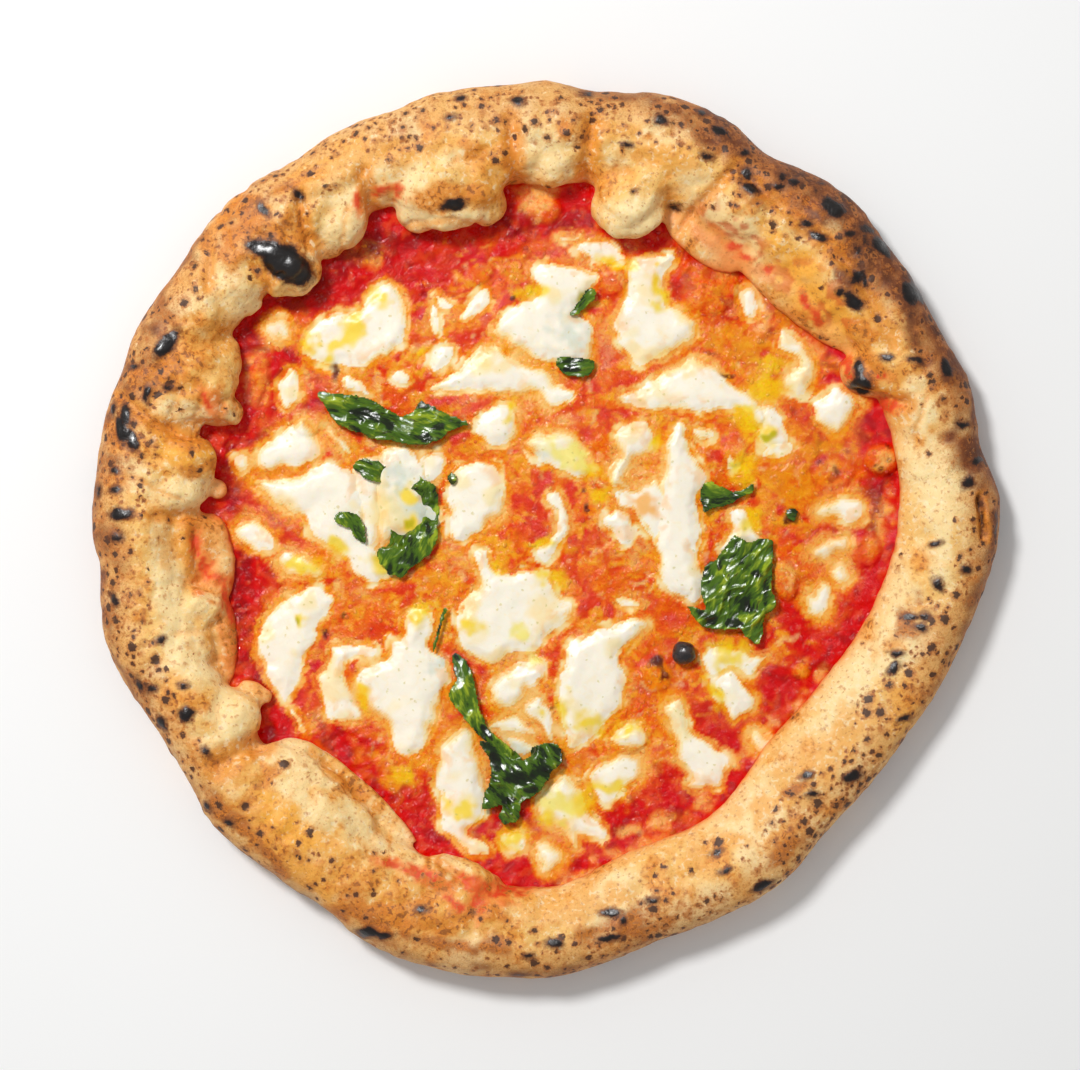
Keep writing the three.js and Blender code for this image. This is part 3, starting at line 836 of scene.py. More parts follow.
@dataclass
class Dough:
    """The whole baked round, with its rim, lobes, blisters and burns."""

    base_radius: float = 137
    base_thickness: float = 4
    voxel: float = 0.9
    face_limit: int = 196000
    waist: float = 0.42
    foot_depth: float = 1.3
    lean_bearing: float = 315
    lean_spread: float = 62
    lean: float = 0.32
    sauce_line: float = 7.5
    # The sauce hides the base out to this radius and up to this height, so it stays plain.
    hidden_radius: float = 104
    hidden_height: float = 6
    # How far in from the edge sauce never reaches.
    clean_edge: float = 12

    # Every 5 degrees: outer radius of the rim.
    outer: Stations = (
        160, 160, 156, 157, 158, 155.5, 155.5, 156, 156, 158, 157.5, 155, 153, 157, 158, 158.5,
        156, 155, 158, 157, 157.5, 158, 157, 158, 158, 157.5, 160, 161, 160, 159, 160, 161, 160,
        161, 160.5, 160.5, 160.5, 158.5, 160, 161, 159, 156, 155, 155, 157.5, 158, 156.5, 156,
        156, 159.5, 161, 161, 161, 160, 159, 157, 154, 151.5, 151, 151, 151, 150, 147, 145.5,
        146, 146.5, 147, 149, 150.5, 152.5, 155, 158,
    )
    # Every 15 degrees: inner radius and crest height of the rim without its lobes.
    inner: Stations = (
        124, 126, 124, 122, 119, 122, 121, 122, 127, 127, 131, 129, 128, 127, 125, 125, 121, 125,
        127, 118, 117, 109.5, 111, 118,
    )
    crest: Stations = (
        22, 23, 24, 25, 25, 26, 26, 26, 25, 27, 27, 27, 27, 27, 26, 26, 26, 25, 24, 22.5, 22, 22,
        21.5, 21.5,
    )
    # Every 15 degrees: how dark the outside is, how far in that reaches in mm, how golden the
    # crest is, and how thick the specks are.
    darkness: Stations = (
        0.6, 0.72, 0.88, 0.95, 0.8, 0.5, 0.25, 0.15, 0.18, 0.32, 0.36, 0.4, 0.46, 0.38, 0.25, 0.25,
        0.28, 0.35, 0.35, 0.25, 0.1, 0.05, 0.15, 0.4,
    )
    reach: Stations = (
        12, 18, 24, 25, 21, 16, 13, 12, 12, 14, 16, 18, 18, 15, 9, 8, 9, 10, 12, 14, 14, 15, 15,
        14,
    )
    golden: Stations = (
        0.3, 0.35, 0.5, 0.5, 0.5, 0.4, 0.3, 0.3, 0.3, 0.55, 0.45, 0.6, 0.5, 0.35, 0.3, 0.6,
        0.65, 0.6, 0.4, 0.35, 0.3, 0.25, 0.3, 0.3,
    )
    speckled: Stations = (
        0.7, 0.6, 0.7, 0.9, 0.9, 0.8, 0.6, 0.7, 0.8, 0.8, 0.9, 0.9, 0.9, 0.9, 0.6, 0.4, 0.4,
        0.4, 0.7, 0.9, 0.9, 0.9, 0.9, 0.8,
    )

    # Every 30 degrees: how lumpy the rim is.
    lumpy: Stations = (0.5, 0.8, 0.95, 1.0, 1.0, 0.9, 0.9, 0.9, 0.85, 0.8, 0.3, 0.3)

    lobes: tuple[Lobe, ...] = (
        Lobe(-96, 97, (18.5, 14.5, 12.2), 15, -42), Lobe(-107, 83, (7.2, 9, 7.5), 11.5),
        Lobe(-72, 110, (10, 14, 9.5), 13.5, -20), Lobe(-76, 103, (6, 9, 7), 10, -20),
        Lobe(-36, 121, (20, 17, 11.5), 14.5), Lobe(-22, 114, (8, 8, 7), 11),
        Lobe(-45, 112, (9, 8.5, 8), 11), Lobe(1.5, 131, (9, 11.5, 9.5), 13.5),
        Lobe(2, 143, (10, 9, 9.5), 15), Lobe(29, 114.5, (14, 14, 11.5), 13.5),
        Lobe(37, 125, (12, 12, 11), 14), Lobe(87, 91, (45, 14, 7.5), 9, -43),
        Lobe(55, 101.5, (17, 7.5, 5.5), 8.5, -38), Lobe(112, 53, (10, 7.5, 7), 11, -30),
        Lobe(-127, 53, (18.5, 17, 12.5), 14), Lobe(-118, 42, (11, 7, 9), 12, -15),
        Lobe(-114.5, 60, (6, 10, 8), 11, 10), Lobe(-129.5, 23, (13.5, 15.5, 11), 14.5),
        Lobe(-131, 14, (13, 9, 10), 14, -8), Lobe(-116.5, 13.5, (4, 4, 3.5), 8.5),
        Lobe(-129, -6, (12, 15, 9), 11), Lobe(-124, -28, (10.5, 7.5, 8.5), 12.5),
        Lobe(-130, -40, (13, 20, 11), 12.5, 10), Lobe(-118, -12, (7.5, 17, 6), 7.5, 4),
        Lobe(-116.5, -37, (7, 19, 6), 7.5, 9), Lobe(-111, -67.5, (11.5, 11.5, 10.5), 14),
        Lobe(-103, -58.5, (7, 4, 4), 9.5, -30), Lobe(-84, -100, (34, 17, 11.5), 13.5, -43),
        Lobe(-88, -80.5, (10, 6, 6), 10, -15), Lobe(-64, -95, (25, 3.4, 3), 8.5, -43),
        Lobe(-36, -131, (23, 16, 10), 12.5, -12), Lobe(-50, -118, (8, 5, 5), 10, -30),
        Lobe(-35, -121, (7, 5, 5), 9.5), Lobe(-21, -127, (6, 5, 5), 10), Lobe(153, 3, (6, 9, 8), 13),
        Lobe(147.5, 17, (6.5, 6.5, 7), 15),
    )
    # Creases between the lobes: start, end, half width and depth.
    creases: Ovals = (
        (-11, 119, -13, 142, 2.6, 2.6), (13, 121, 16, 142, 2.6, 2.6), (-60, 106, -64, 124, 2.4, 2.2),
        (-82, 97, -87, 118, 1.8, 2), (-112, 34, -128, 33, 2.4, 3), (-128, 33, -138, 37, 2.2, 2.8),
        (-138, 37, -150, 46, 2, 2), (-118, 4.5, -136, 4, 2, 1.6), (-118, -36, -130, -37, 1.6, 0.7),
        (-122, -2, -121, -16, 3.2, 3), (-146, 18, -128, 10, 0.9, 0.9), (-99, -75, -116, -84, 3.4, 3),
        (46, 104, 67, 127, 2, 1.8), (108, 46, 125, 43, 2.6, 3), (153, -4, 152, 10, 1.5, 4.2),
        (66, 127, 84, 110, 2.6, 1.8), (84, 110, 106, 91, 2.6, 1.8), (106, 91, 121, 64, 2.6, 1.8),
        (-84, -78, -60, -99, 1.2, 1.3), (-60, -99, -46, -110, 1.2, 1.3), (26, 118, 35, 120, 0.8, 0.7),
        (31, 115, 30, 123, 0.8, 0.7), (-124, 36, -118, 50, 1.2, 0.8), (-131, 38, -127, 48, 1.2, 0.7),
        (-116, 34, -112, 46, 1.2, 0.7), (-50, 106, -22, 107, 1.4, 1), (-118, 84, -118, 102, 2.2, 1.8),
        (-118, 102, -106, 119, 2.2, 1.3), (-99, 79, -97, 90, 1.8, 1.6), (-122, 48, -132, 60, 1.4, 0.8),
        (-44, -114, -28, -124, 1.6, 1.4), (-72, 96, -70, 112, 1.2, 0.8), (-98, 84, -92, 88, 1.4, 1.2),
        (132, 46, 128, 30, 1.2, 0.8), (-110, 96, -116, 112, 1.4, 0.9), (-96, 116, -78, 124, 1.6, 1),
    )

    # Charred blisters: x, y, half length, half width and bearing.
    burns: Ovals = (
        (-100, 98, 6.5, 3.4, -12), (-93.5, 94, 8, 6, -38), (-88.5, 90.5, 6, 5.6, -40),
        (-100.5, 112.5, 3.3, 1.6, -45), (-88, 117, 2.6, 1.2, -50), (-34.5, 145, 1.7, 1.1),
        (-30.5, 152, 1.7, 1.2, 10), (-10.5, 150.5, 2.5, 1.4), (-33, 114, 4.4, 1.9, 10),
        (-134.5, 64.5, 6.4, 2.7, 48), (-146.5, 56.5, 2.1, 1.1, 20), (-141.5, 47, 1.4, 3.3),
        (-134, 49, 2, 1.2, -10), (-153.5, 42, 0.9, 2.6), (-149, 39.5, 4.4, 1.6, -80),
        (-147, 31, 4.4, 2, -75), (-153, 20, 1.7, 1.4), (-153, 13, 1.9, 1.4), (-158.5, 13, 0.7, 1.9),
        (-150.5, 4.5, 4.2, 2.3, 5), (-152, -3.5, 2.1, 1.4), (-153, -25.5, 2.1, 1.2, -80),
        (-136.5, -40, 1.9, 1.4), (-143.5, -56, 2.6, 1.1, -60), (-140, -57.5, 1.6, 1.2, -15),
        (-128.5, -56, 1.9, 1.5), (-127.5, -66.5, 2.8, 2.6), (-136, -69, 2.3, 1.2, -70),
        (-120.5, -79.5, 2, 1.4, -40), (-63, -143.5, 4, 1.9, -10), (-57.5, -144.5, 2.9, 1.4),
        (-44.5, -135.5, 2, 1.2, 15), (-6.5, -152, 1.9, 1.1), (-120, -99, 1.7, 1.2, -50),
        (-113, -104, 1.7, 1.2, -35), (2.5, -147.5, 3, 2), (22.5, -145.5, 4.2, 1.2, 6),
        (27, -139, 2, 1.2, 80), (22, -136.5, 3.5, 1.6), (37.5, -132, 2.2, 1.2),
        (60, -115.5, 1.9, 1.1, 30), (63, -121.5, 2.1, 1.1), (76.5, -126.5, 3.7, 1.4, 25),
        (92, -88, 2.2, 1.4), (94, -94, 1.9, 1.1), (108, -88, 3.5, 1.9, 25), (126.5, -68, 2.3, 1.1, 30),
        (122.5, -50, 3.2, 1.4, 45), (123.5, -44.5, 2.1, 1.2), (128.5, -31.5, 3.2, 1.2),
        (132, -35.5, 2.6, 1.6), (133.5, -31.5, 1.9, 1.2), (138.5, -20.5, 2.3, 1.6, -60),
        (148, -15, 1.9, 1.6), (137, -6, 2.3, 1.4, 20), (40, 144, 2.6, 1.9, -20), (55, 146.5, 1.9, 1.4),
        (61, 140, 3.3, 1.7, -25), (56.5, 131, 1.9, 1.4, -30), (70, 132.5, 2.1, 1.6),
        (70.5, 125, 2.3, 2.1), (72, 119.5, 3.3, 1.9, -15), (82, 120.5, 1.9, 1.2), (87.5, 122, 2.6, 1.6),
        (27.5, 135.5, 1.9, 1.1, -10), (45, 113, 1.9, 1.1, -10), (92, 107.5, 1.9, 1.4),
        (96, 102.5, 3.5, 1.6, -30), (101.5, 113, 4.9, 3, -30), (106.5, 104, 2.1, 1.2),
        (104, 83.5, 1.9, 1.2), (108.5, 80, 4.1, 2.1, -40), (112, 87.5, 2.3, 1.2, -60),
        (118, 99, 4.9, 2.1, -55), (128.5, 83, 4.6, 2.8, -60), (141.5, 56, 3.5, 2.3, -70),
        (130.5, 59, 2.8, 1.5, -20), (120.5, 60, 1.9, 1.1), (111, 50.5, 4.2, 3.1),
        (110, 56, 3.7, 1.6, 90), (147.5, 36.5, 2.3, 1.4), (152, 23.5, 2.8, 1.4),
        (148.5, 16, 2.8, 2, 45), (14, 153, 1.9, 1.1, -10), (-150, 34, 5, 2, -80),
        (30.5, 119, 1.0, 0.6, 20),
    )
    # Ovals of other tones than those round about them.
    bakes: tuple[tuple[Baked, Ovals], ...] = (
        (Baked.PALE, (
            (-72, 108, 9, 8, 60), (-106, 81, 9, 7), (-104, 79, 6, 5), (29, 106, 10, 5),
            (-110, -68, 11, 11), (-88, -82, 16, 5, -35), (-86, -100, 14, 6, -40), (138, 15, 12, 26),
            (2, -136, 24, 5, 3), (130, 42, 7, 12, -20), (122, -20, 8, 26, 10), (-45, 112, 10, 5),
            (0, 127, 8, 6), (104, -58, 9, 20, -35), (70, -98, 30, 6, 42), (-118, 88, 5, 10),
            (-126, 40, 17, 6, -6), (-128, 13, 14, 8, -8), (-116, 12, 5, 5), (-135, -20, 5, 24),
            (-112, 94, 4, 14), (-121, -28, 9, 7), (-62, 124, 10, 6, 20), (-111, -14, 2.6, 11),
            (-126, -46, 7, 11, 5), (-132, -30, 5, 20), (-66, 124, 12, 8, 20), (-30, 108, 12, 4),
            (-98, -78, 12, 5, -30), (-66, -106, 14, 4, -45), (140, -12, 6, 10), (66, 104, 19, 8, -43),
            (58, 114, 8, 7), (29, 110, 12, 8), (-48, 124, 8, 6), (-38, 109, 16, 5),
            (-72, 126, 16, 6, 28), (-30, 132, 10, 4), (52, 124, 7, 5, -30),
        )),
        (Baked.GOLD, (
            (-14, 128, 5, 12), (17, 127, 5, 12), (44, 132, 12, 6, -20), (-128, 28, 16, 8),
            (-128, -6, 8, 10), (-70, 128, 20, 8, 22), (-40, -130, 26, 7, -8), (4, -134, 30, 7, 5),
            (-22, 132, 8, 6), (16, 133, 5, 9), (22, 141, 12, 4), (94, -84, 34, 8, 42),
            (-46, 134, 14, 5, 15), (-114, 68, 6, 8), (-80, -112, 20, 5, -40), (120, 40, 8, 12),
            (56, -116, 20, 6, 22), (-132, -58, 6, 8), (124, -66, 6, 12, -20), (-22, 122, 8, 8),
            (-92, -116, 24, 5, -42), (-105, -104, 18, 6, -45), (-84, -121, 18, 5, -40),
        )),
        (Baked.HONEY, (
            (94, 82, 22, 8, -45), (104, 70, 11, 12, 25), (-128, 28, 14, 6), (-92, -104, 16, 6, -42),
            (84, 98, 12, 5, -43), (-122, -8, 4, 8),
        )),
        (Baked.AMBER, (
            (-102, 106, 13, 9, -30), (-90, 101, 7, 10), (-112, 98, 4, 10), (-133, 53, 14, 4, -8),
            (-134, 58, 8, 4), (-34, 117, 13, 5), (-26, 133, 6, 6), (117, 56, 8, 8), (112, 66, 5, 9, 20),
            (-62, -138, 16, 6, -12), (-40, -140, 18, 6, -8), (-124, 20, 10, 3), (-122, 3, 8, 3),
            (90, 72, 10, 3, -48), (-24, -138, 12, 4, -5), (36, 138, 3, 2), (6, 141, 3, 4),
            (-124, 30, 12, 4), (-114, -40, 3, 12, 12),
        )),
        (Baked.ORANGE, (
            (-113, -42, 4, 12, 12), (-121, -9, 5, 11, 5), (-12, 130, 2.6, 11), (15, 124, 2.4, 7),
            (66, 98, 11, 2.4, -45), (88, 70, 12, 3, -48), (-122, -20, 5, 3), (-66, 112, 2, 6),
            (-118, 43, 4, 6, 20), (112, 52, 5, 4), (-40, -124, 12, 2.6, -20), (-112, -22, 2.6, 8),
            (60, 101, 14, 4, -43),
        )),
        (Baked.SCORCH, (
            (-113, -101, 14, 3.4, -45), (-64, -140, 12, 4, -25), (-40, -148, 16, 3, -8),
            (28, -141, 16, 5, 8), (84, -115, 8, 2.6, 40), (88, -92, 6, 2.4, 25), (128, -34, 5, 8, -10),
            (-20, -149, 10, 3), (-96, -118, 8, 2.6, -42), (91, 113, 9, 6, -30),
        )),
    )
    # How thick the specks are on toasted places; how much less baked and how free of specks
    # the clean ones are.
    toasting: ClassVar[dict[Baked, float]] = {Baked.AMBER: 0.36, Baked.SCORCH: 0.6}
    cleaning: ClassVar[dict[Baked, tuple[float, float]]] = {
        Baked.HONEY: (0.6, 0.4), Baked.PALE: (0.8, 1.0),
    }
    # Inner slopes stippled red by splashes of sauce.
    stippled: Ovals = ((66, 101, 20, 10, -43), (94, 80, 22, 12, -47))
    # The flap whose lip stays clean.
    lip: tuple[float, ...] = (-71, -91, 34, 8, -43)
    # Smears of sauce on the dough.
    smears: Ovals = (
        (-22, -126, 9, 2.6, -20), (-43, -122, 8, 2, -25), (-55, -118, 5, 1.6, -20),
        (-33, -131, 5, 1.5, -40), (-24, -131, 2.2, 5), (-12, -127, 8, 3, 5), (66, 99, 3, 1.4, -20),
        (70, 95, 2.6, 1.4, -20), (78, 91, 2, 1.2, -20), (94, 75, 2, 5, 30), (91, 79, 1.4, 4, 20),
        (106, 56, 1.6, 4, 10), (118, 53, 3, 1.4), (120, 43, 4, 2.4, -20), (-118.5, 43, 1.2, 4, 20),
        (-123.5, -5, 2.2, 5, 10), (-121, -13, 2.2, 4), (-116, -18, 4, 1.6, -20),
        (-112.5, -28, 1.4, 6, 10), (109, 20, 3, 8, 10), (-57, 118, 4, 1.2, 15), (-52, 117, 2, 2.4),
        (-66, 113, 1.2, 3),
    )

    def rim(self, bearing: np.ndarray) -> tuple[np.ndarray, np.ndarray, np.ndarray]:
        """Outer radius, inner radius and crest height at bearings in radians."""
        tables = (self.outer, self.inner, self.crest)
        return tuple(round_about(table, bearing) for table in tables)

    def ring(self, steps: int = 360, sides: int = 44) -> tuple[Points, np.ndarray]:
        """The rim without its lobes, as corners and triangles."""
        bearing = np.arange(steps) / steps * math.tau
        outer, inner, crest = (values[:, None] for values in self.rim(bearing))
        angle = -(np.arange(sides) + 0.5)[None, :] / sides * math.tau
        up, out = np.sin(angle), np.cos(angle)
        turn = (np.degrees(bearing)[:, None] - self.lean_bearing) / self.lean_spread
        lean = self.lean * np.exp(-turn * turn) * np.where(up > 0, up * up, 0)
        waist = crest * self.waist
        over = np.where(up > 0, (crest - waist) * up, waist * self.foot_depth * up)
        radius = (outer + inner) / 2 + (outer - inner) / 2 * (out + lean)
        height = np.maximum(0, waist + over)
        sweep = bearing[:, None]
        points = np.stack([radius * np.cos(sweep), radius * np.sin(sweep), height], axis=2)
        number = np.arange(steps * sides).reshape(steps, sides)
        ahead = np.roll(number, -1, axis=0)
        a, b = number, np.roll(number, -1, axis=1)
        c, d = np.roll(ahead, -1, axis=1), ahead
        faces = np.concatenate([
            np.stack([a, b, c], 2).reshape(-1, 3), np.stack([a, c, d], 2).reshape(-1, 3),
        ])
        return points.reshape(-1, 3), faces

    def parts(self) -> tuple[Points, np.ndarray]:
        """The ring, the base and the lobes, still as shells that cross each other."""
        unit, shell = unit_ball()
        maker = bpy.ops.mesh.primitive_cylinder_add
        disc, disc_faces = primitive(maker, vertices=96, radius=1, depth=1)
        disc = (disc + (0, 0, 0.5)) * (self.base_radius, self.base_radius, self.base_thickness)
        pieces = [self.ring(), (disc, disc_faces)]
        pieces += [(lobe.placed(unit), shell) for lobe in self.lobes]
        offset, points, faces = 0, [], []
        for corners, sides in pieces:
            points.append(corners)
            faces.append(sides + offset)
            offset += len(corners)
        return np.concatenate(points), np.concatenate(faces)

    def fused(self) -> tuple[Points, np.ndarray]:
        """One closed skin over all the parts."""
        raw = mesh_object("dough_parts", *self.parts())
        remesh = raw.modifiers.new("skin", "REMESH")
        remesh.mode = "VOXEL"
        remesh.voxel_size = self.voxel * MM * 1
        mesh = plain_mesh(raw)
        points, faces = corners_of(mesh), triangles_of(mesh)
        bpy.data.objects.remove(raw)
        return points, faces

    def swollen(self, points: Points, faces: np.ndarray) -> Points:
        """Gives the smooth skin its puffs, blisters and wrinkles."""
        points = relaxed(points, faces, 3, 0.5)
        out = normals_of(points, faces)
        hidden = (away(points) < self.hidden_radius) & (points[:, 2] < self.hidden_height)
        bare = smooth(0.6, 4, points[:, 2]) * ~hidden
        lumpy = round_about(self.lumpy, bearing_of(points))
        lift = 1.1 * noise(points, 24, 3) + 0.35 * noise(points, 9, 4)
        lift += lumpy * (1.6 * (cells(points, 20, 5) - 0.75) + 0.5 * (cells(points, 8, 6) - 0.7))
        lift += (0.3 + 0.5 * lumpy) * (0.3 * noise(points, 5, 7) + 0.12 * noise(points, 2.6, 8))
        from_edge = self.rim(bearing_of(points))[0] - away(points)
        lift *= bare * (0.3 + 0.7 * smooth(3, 16, from_edge))
        lift *= 0.35 + 0.65 * smooth(8, 17, points[:, 2])
        lift += 0.22 * noise(self.fibres(points), 1, 9) * bare
        upper = smooth(7, 12, points[:, 2])
        lift -= self.creased(points, 1) * upper
        seen = self.seen(points)
        for burn in self.burns:
            near = (upper > 0) & (away(seen, *burn[:2]) < 2.2 * burn[2] + 2)
            share = smooth(-0.35, 0.75, oval(seen[near], burn))
            lift[near] += share * upper[near] * min(1.1, 0.1 * burn[3] ** 2 + 0.1)
        moved = points + out * lift[:, None]
        moved[:, 2] = np.maximum(moved[:, 2], 0)
        return relaxed(moved, faces, 1, 0.25)

    def build(self) -> None:
        """Makes the dough and hands it over."""
        points, faces = self.fused()
        skin = mesh_object("crust_skin", self.swollen(points, faces), faces)
        if len(faces) > self.face_limit:
            thin = skin.modifiers.new("thin", "DECIMATE")
            thin.ratio = self.face_limit / len(faces)
        mesh = plain_mesh(skin)
        bpy.data.objects.remove(skin)
        piece = mesh_object("crust", corners_of(mesh), triangles_of(mesh))
        self.mark(piece)
        hand_over(piece, CrustFinish().material(), ["dough"])

    @staticmethod
    def seen(points: Points) -> Points:
        """Where places look to be from straight above, beside those at the measured height."""
        return points[:, :2] * (EYE - PLANE) / (EYE - points[:, 2:])

    @staticmethod
    def fibres(points: Points, radius: float = 138,
               size: tuple[float, float, float] = (11, 2.8, 9)) -> Points:
        """Coordinates in which noise is drawn out from the middle outwards.

        Args:
            points: The dough's corners.
            radius: Where the fibres have their true width, in mm.
            size: Their length, width and depth in mm.

        Returns:
            A place for each corner, in fibres.
        """
        across = bearing_of(points) * radius / size[1] + 0.8 * noise(points, 12, 39)
        return np.stack([away(points) / size[0], across, points[:, 2] / size[2]], axis=1)

    def creased(self, points: Points, widen: float) -> np.ndarray:
        """Depth in mm of the creases at each place, each `widen` times as wide."""
        flat = points[:, :2] + 0.8 * pushed(points, 6, 40, 41)
        deepest = np.zeros(len(points))
        for x, y, end_x, end_y, width, depth in self.creases:
            start, along = np.array([x, y]), np.array([end_x - x, end_y - y])
            offset = flat - start
            share = np.clip(offset @ along / (along @ along), 0, 1)
            gap = np.linalg.norm(offset - share[:, None] * along, axis=1) / (width * widen)
            fade = smooth(0, 0.15, share + 0.1) * smooth(1, 0.85, share - 0.1)
            deepest = np.maximum(deepest, depth * fade * np.exp(-1.4 * gap * gap))
        return deepest

    def mark(self, piece: bpy.types.Object) -> None:
        """Keeps how baked, burnt, speckled and stained the dough is at each corner, with painted shade
        in its creases.
        """
        points, faces = corners_of(piece.data), triangles_of(piece.data)
        flat, height = points[:, :2], points[:, 2]
        bearing, radius = bearing_of(flat), away(flat)
        outer, inner, _ = self.rim(bearing)
        from_edge = outer - radius
        out = normals_of(points, faces)
        mean = relaxed(points, faces, 1, 1.0)
        hollow = relaxed(np.sum((mean - points) * out, axis=1)[:, None], faces, 2, 0.7)[:, 0]
        side = smooth(0.6, 0.0, out[:, 2]) * (radius > (outer + inner) / 2)
        under = smooth(1.5, 0.3, height)
        moved = points + 2.2 * pushed(points, 8, 20, 21, 22)
        wander = noise(points, 16, 24)
        golden, darkness, reach, speckled = (
            round_about(table, bearing)
            for table in (self.golden, self.darkness, self.reach, self.speckled)
        )
        streaky = 0.3 + 0.45 * smooth(0.4, 0.6, golden)
        gold = golden * smooth(2, 16, from_edge) * 0.9 + 0.75 * rough(moved, 10, 4, 26)
        gold += streaky * noise(self.fibres(moved), 1, 34) - 0.08
        band = smooth(21, 7, from_edge + 5 * wander)
        # Pale dough, golden in patches and tan towards the outside.
        tone = blend(
            np.tile(Baked.CREAM.value, (len(points), 1)),
            (Baked.PALE, smooth(-0.1, 0.9, rough(moved, 17, 2, 25))),
            (Baked.GOLD, 0.85 * smooth(0.15, 0.85, gold)),
            (Baked.TAN, (0.42 + 0.5 * darkness) * band),
        )
        baked = np.clip(gold, 0, 1)
        # Ragged ovals of other tones on whatever shows from above.
        upper = (height > 6) & (under < 0.5)
        crusty, clean, splashes = np.zeros((3, len(points)))
        seen = self.seen(points)
        moved[:, :2] += seen - flat
        for baking, ovals in self.bakes:
            for spot in ovals:
                near = upper & (away(seen, *spot[:2]) < 1.6 * max(spot[2:4]))
                ragged = oval(moved[near, :2], spot) + 0.5 * noise(points[near], 4, 27)
                share = smooth(-0.3, 0.5, ragged) * (1 - side[near])
                tone[near] = blend(tone[near], (baking, 0.8 * share))
                if baking in self.toasting:
                    baked[near] = np.maximum(baked[near], share)
                    crusty[near] = np.maximum(crusty[near], self.toasting[baking] * share)
                elif baking in self.cleaning:
                    less, free = self.cleaning[baking]
                    baked[near] *= 1 - less * share
                    clean[near] = np.maximum(clean[near], free * share)
        # Browned towards the outside, on its steep face and underneath, and amber in the creases.
        brown = darkness * smooth(1.15, 0.15, from_edge / reach + 0.3 * wander)
        brown = np.maximum(brown, side * (0.28 + 0.65 * darkness) + 0.25 * noise(points, 9, 28) * side)
        brown = np.maximum(brown, under * (0.5 + 0.35 * noise(points, 13, 29)))
        brown += 0.35 * noise(moved, 5, 30) * smooth(0.05, 0.4, brown)
        # Amber in the creases and hollows: partly the colour the dough bakes to in its folds, partly
        # painted shade.
        crease_tint_and_shade = np.maximum(smooth(0.02, 0.16, hollow), smooth(0.2, 1.2, self.creased(points, 1.7)))
        tone = blend(
            tone, (Baked.BROWN, smooth(0.15, 0.75, brown)), (Baked.DARK, smooth(0.6, 1.1, brown)),
            (Baked.AMBER, 0.75 * crease_tint_and_shade * upper * smooth(9, 12, height)),
        )
        # Red pits where sauce splashed, and dark paint in the deepest split, standing for its shade and
        # its burnt edge.
        pits = smooth(0.15, 0.45, noise(points, 3, 45) + 0.3 * noise(points, 8, 46))
        for spot in self.stippled:
            splashed = smooth(-0.2, 0.4, oval(seen, spot)) * upper
            tone = blend(tone, (Baked.RUST, 0.65 * pits * splashed))
            splashes = np.maximum(splashes, splashed)
        # Painted shade with burnt brown: dark where a crease is deeper than 3 mm.
        tone = blend(tone, (Baked.DARK, smooth(3, 4, self.creased(points, 1)) * upper))
        # Most specks between the crest and the outside.
        specks = speckled * smooth(33, 10, from_edge + 6 * wander)
        specks *= (1 + 0.5 * noise(points, 13, 44)) * (1 - 0.95 * clean)
        specks = np.maximum(np.maximum(specks, crusty), 0.32 * smooth(0.3, 0.8, gold))
        specks = np.maximum(specks, side * 0.6) * smooth(2, 6, height)
        specks = np.maximum(specks, under * 0.45)
        tone, wet = self.stained(points, tone, (from_edge > self.clean_edge) & (under < 0.5))
        crisp = np.clip(band * (0.34 + 0.8 * darkness) + 0.6 * brown + 0.2 * wander, 0, 1)
        store(piece, {
            "tone": opaque(tone), "baked": baked, "specks": specks, "crisp": crisp,
            "burn": self.burnt(points, brown), "dusty": (1 - wet) * (1 - splashes),
        })

    def burnt(self, points: Points, brown: np.ndarray) -> np.ndarray:
        """About how many mm inside a charred blister each place lies, negative outside."""
        flat = self.seen(points) + 0.9 * pushed(points, 3.4, 35, 36)
        burn = np.full(len(points), -3.0)
        upper = points[:, 2] > 7
        for spot in self.burns:
            near = upper & (away(flat, *spot[:2]) < spot[2] + 4)
            inside = oval(flat[near], spot) * math.sqrt(spot[2] * spot[3])
            burn[near] = np.maximum(burn[near], inside)
        charred = 5 * (brown + 0.4 * noise(points, 7, 37) + 0.2 * noise(points, 3, 38) - 1.08)
        return np.clip(np.maximum(burn, charred), -3, 3)

    def stained(self, points: Points, tone: np.ndarray,
                inner: np.ndarray) -> tuple[np.ndarray, np.ndarray]:
        """Lays sauce on the foot of the inner slope and where it splashed.

        Args:
            points: The dough's corners.
            tone: Its colours without sauce.
            inner: Which corners sauce can reach.

        Returns:
            The new colours and how much sauce there is.
        """
        height = points[:, 2] + 1.1 * noise(points, 6, 31) + 0.6 * noise(points, 2.4, 32)
        line = self.sauce_line
        foot = inner * (1 - smooth(-0.1, 0.3, oval(points[:, :2], self.lip)))
        wet = smooth(line + 5, line + 1.2, height) * foot
        tone = blend(
            tone, (Baked.PEACH, 0.65 * smooth(line + 10, line + 3, height) * foot),
            (Baked.ORANGE, 0.75 * wet),
            (Baked.RED, 0.9 * smooth(line + 1.6, line + 0.2, height) * foot),
        )
        for smear in self.smears:
            near = inner & (points[:, 2] > 7) & (away(points, *smear[:2]) < 15)
            ragged = oval(points[near, :2], smear) + 0.6 * noise(points[near], 3, 33)
            ragged += 0.5 * noise(points[near], 1.3, 47)
            tone[near] = blend(
                tone[near], (Baked.ORANGE, 0.6 * smooth(-0.8, 0.1, ragged)),
                (Baked.RED, 0.8 * smooth(-0.1, 0.5, ragged)),
            )
            wet[near] = np.maximum(wet[near], smooth(-0.8, 0, ragged))
        return tone, wet


# ---- The wet middle: its height and its colours ----


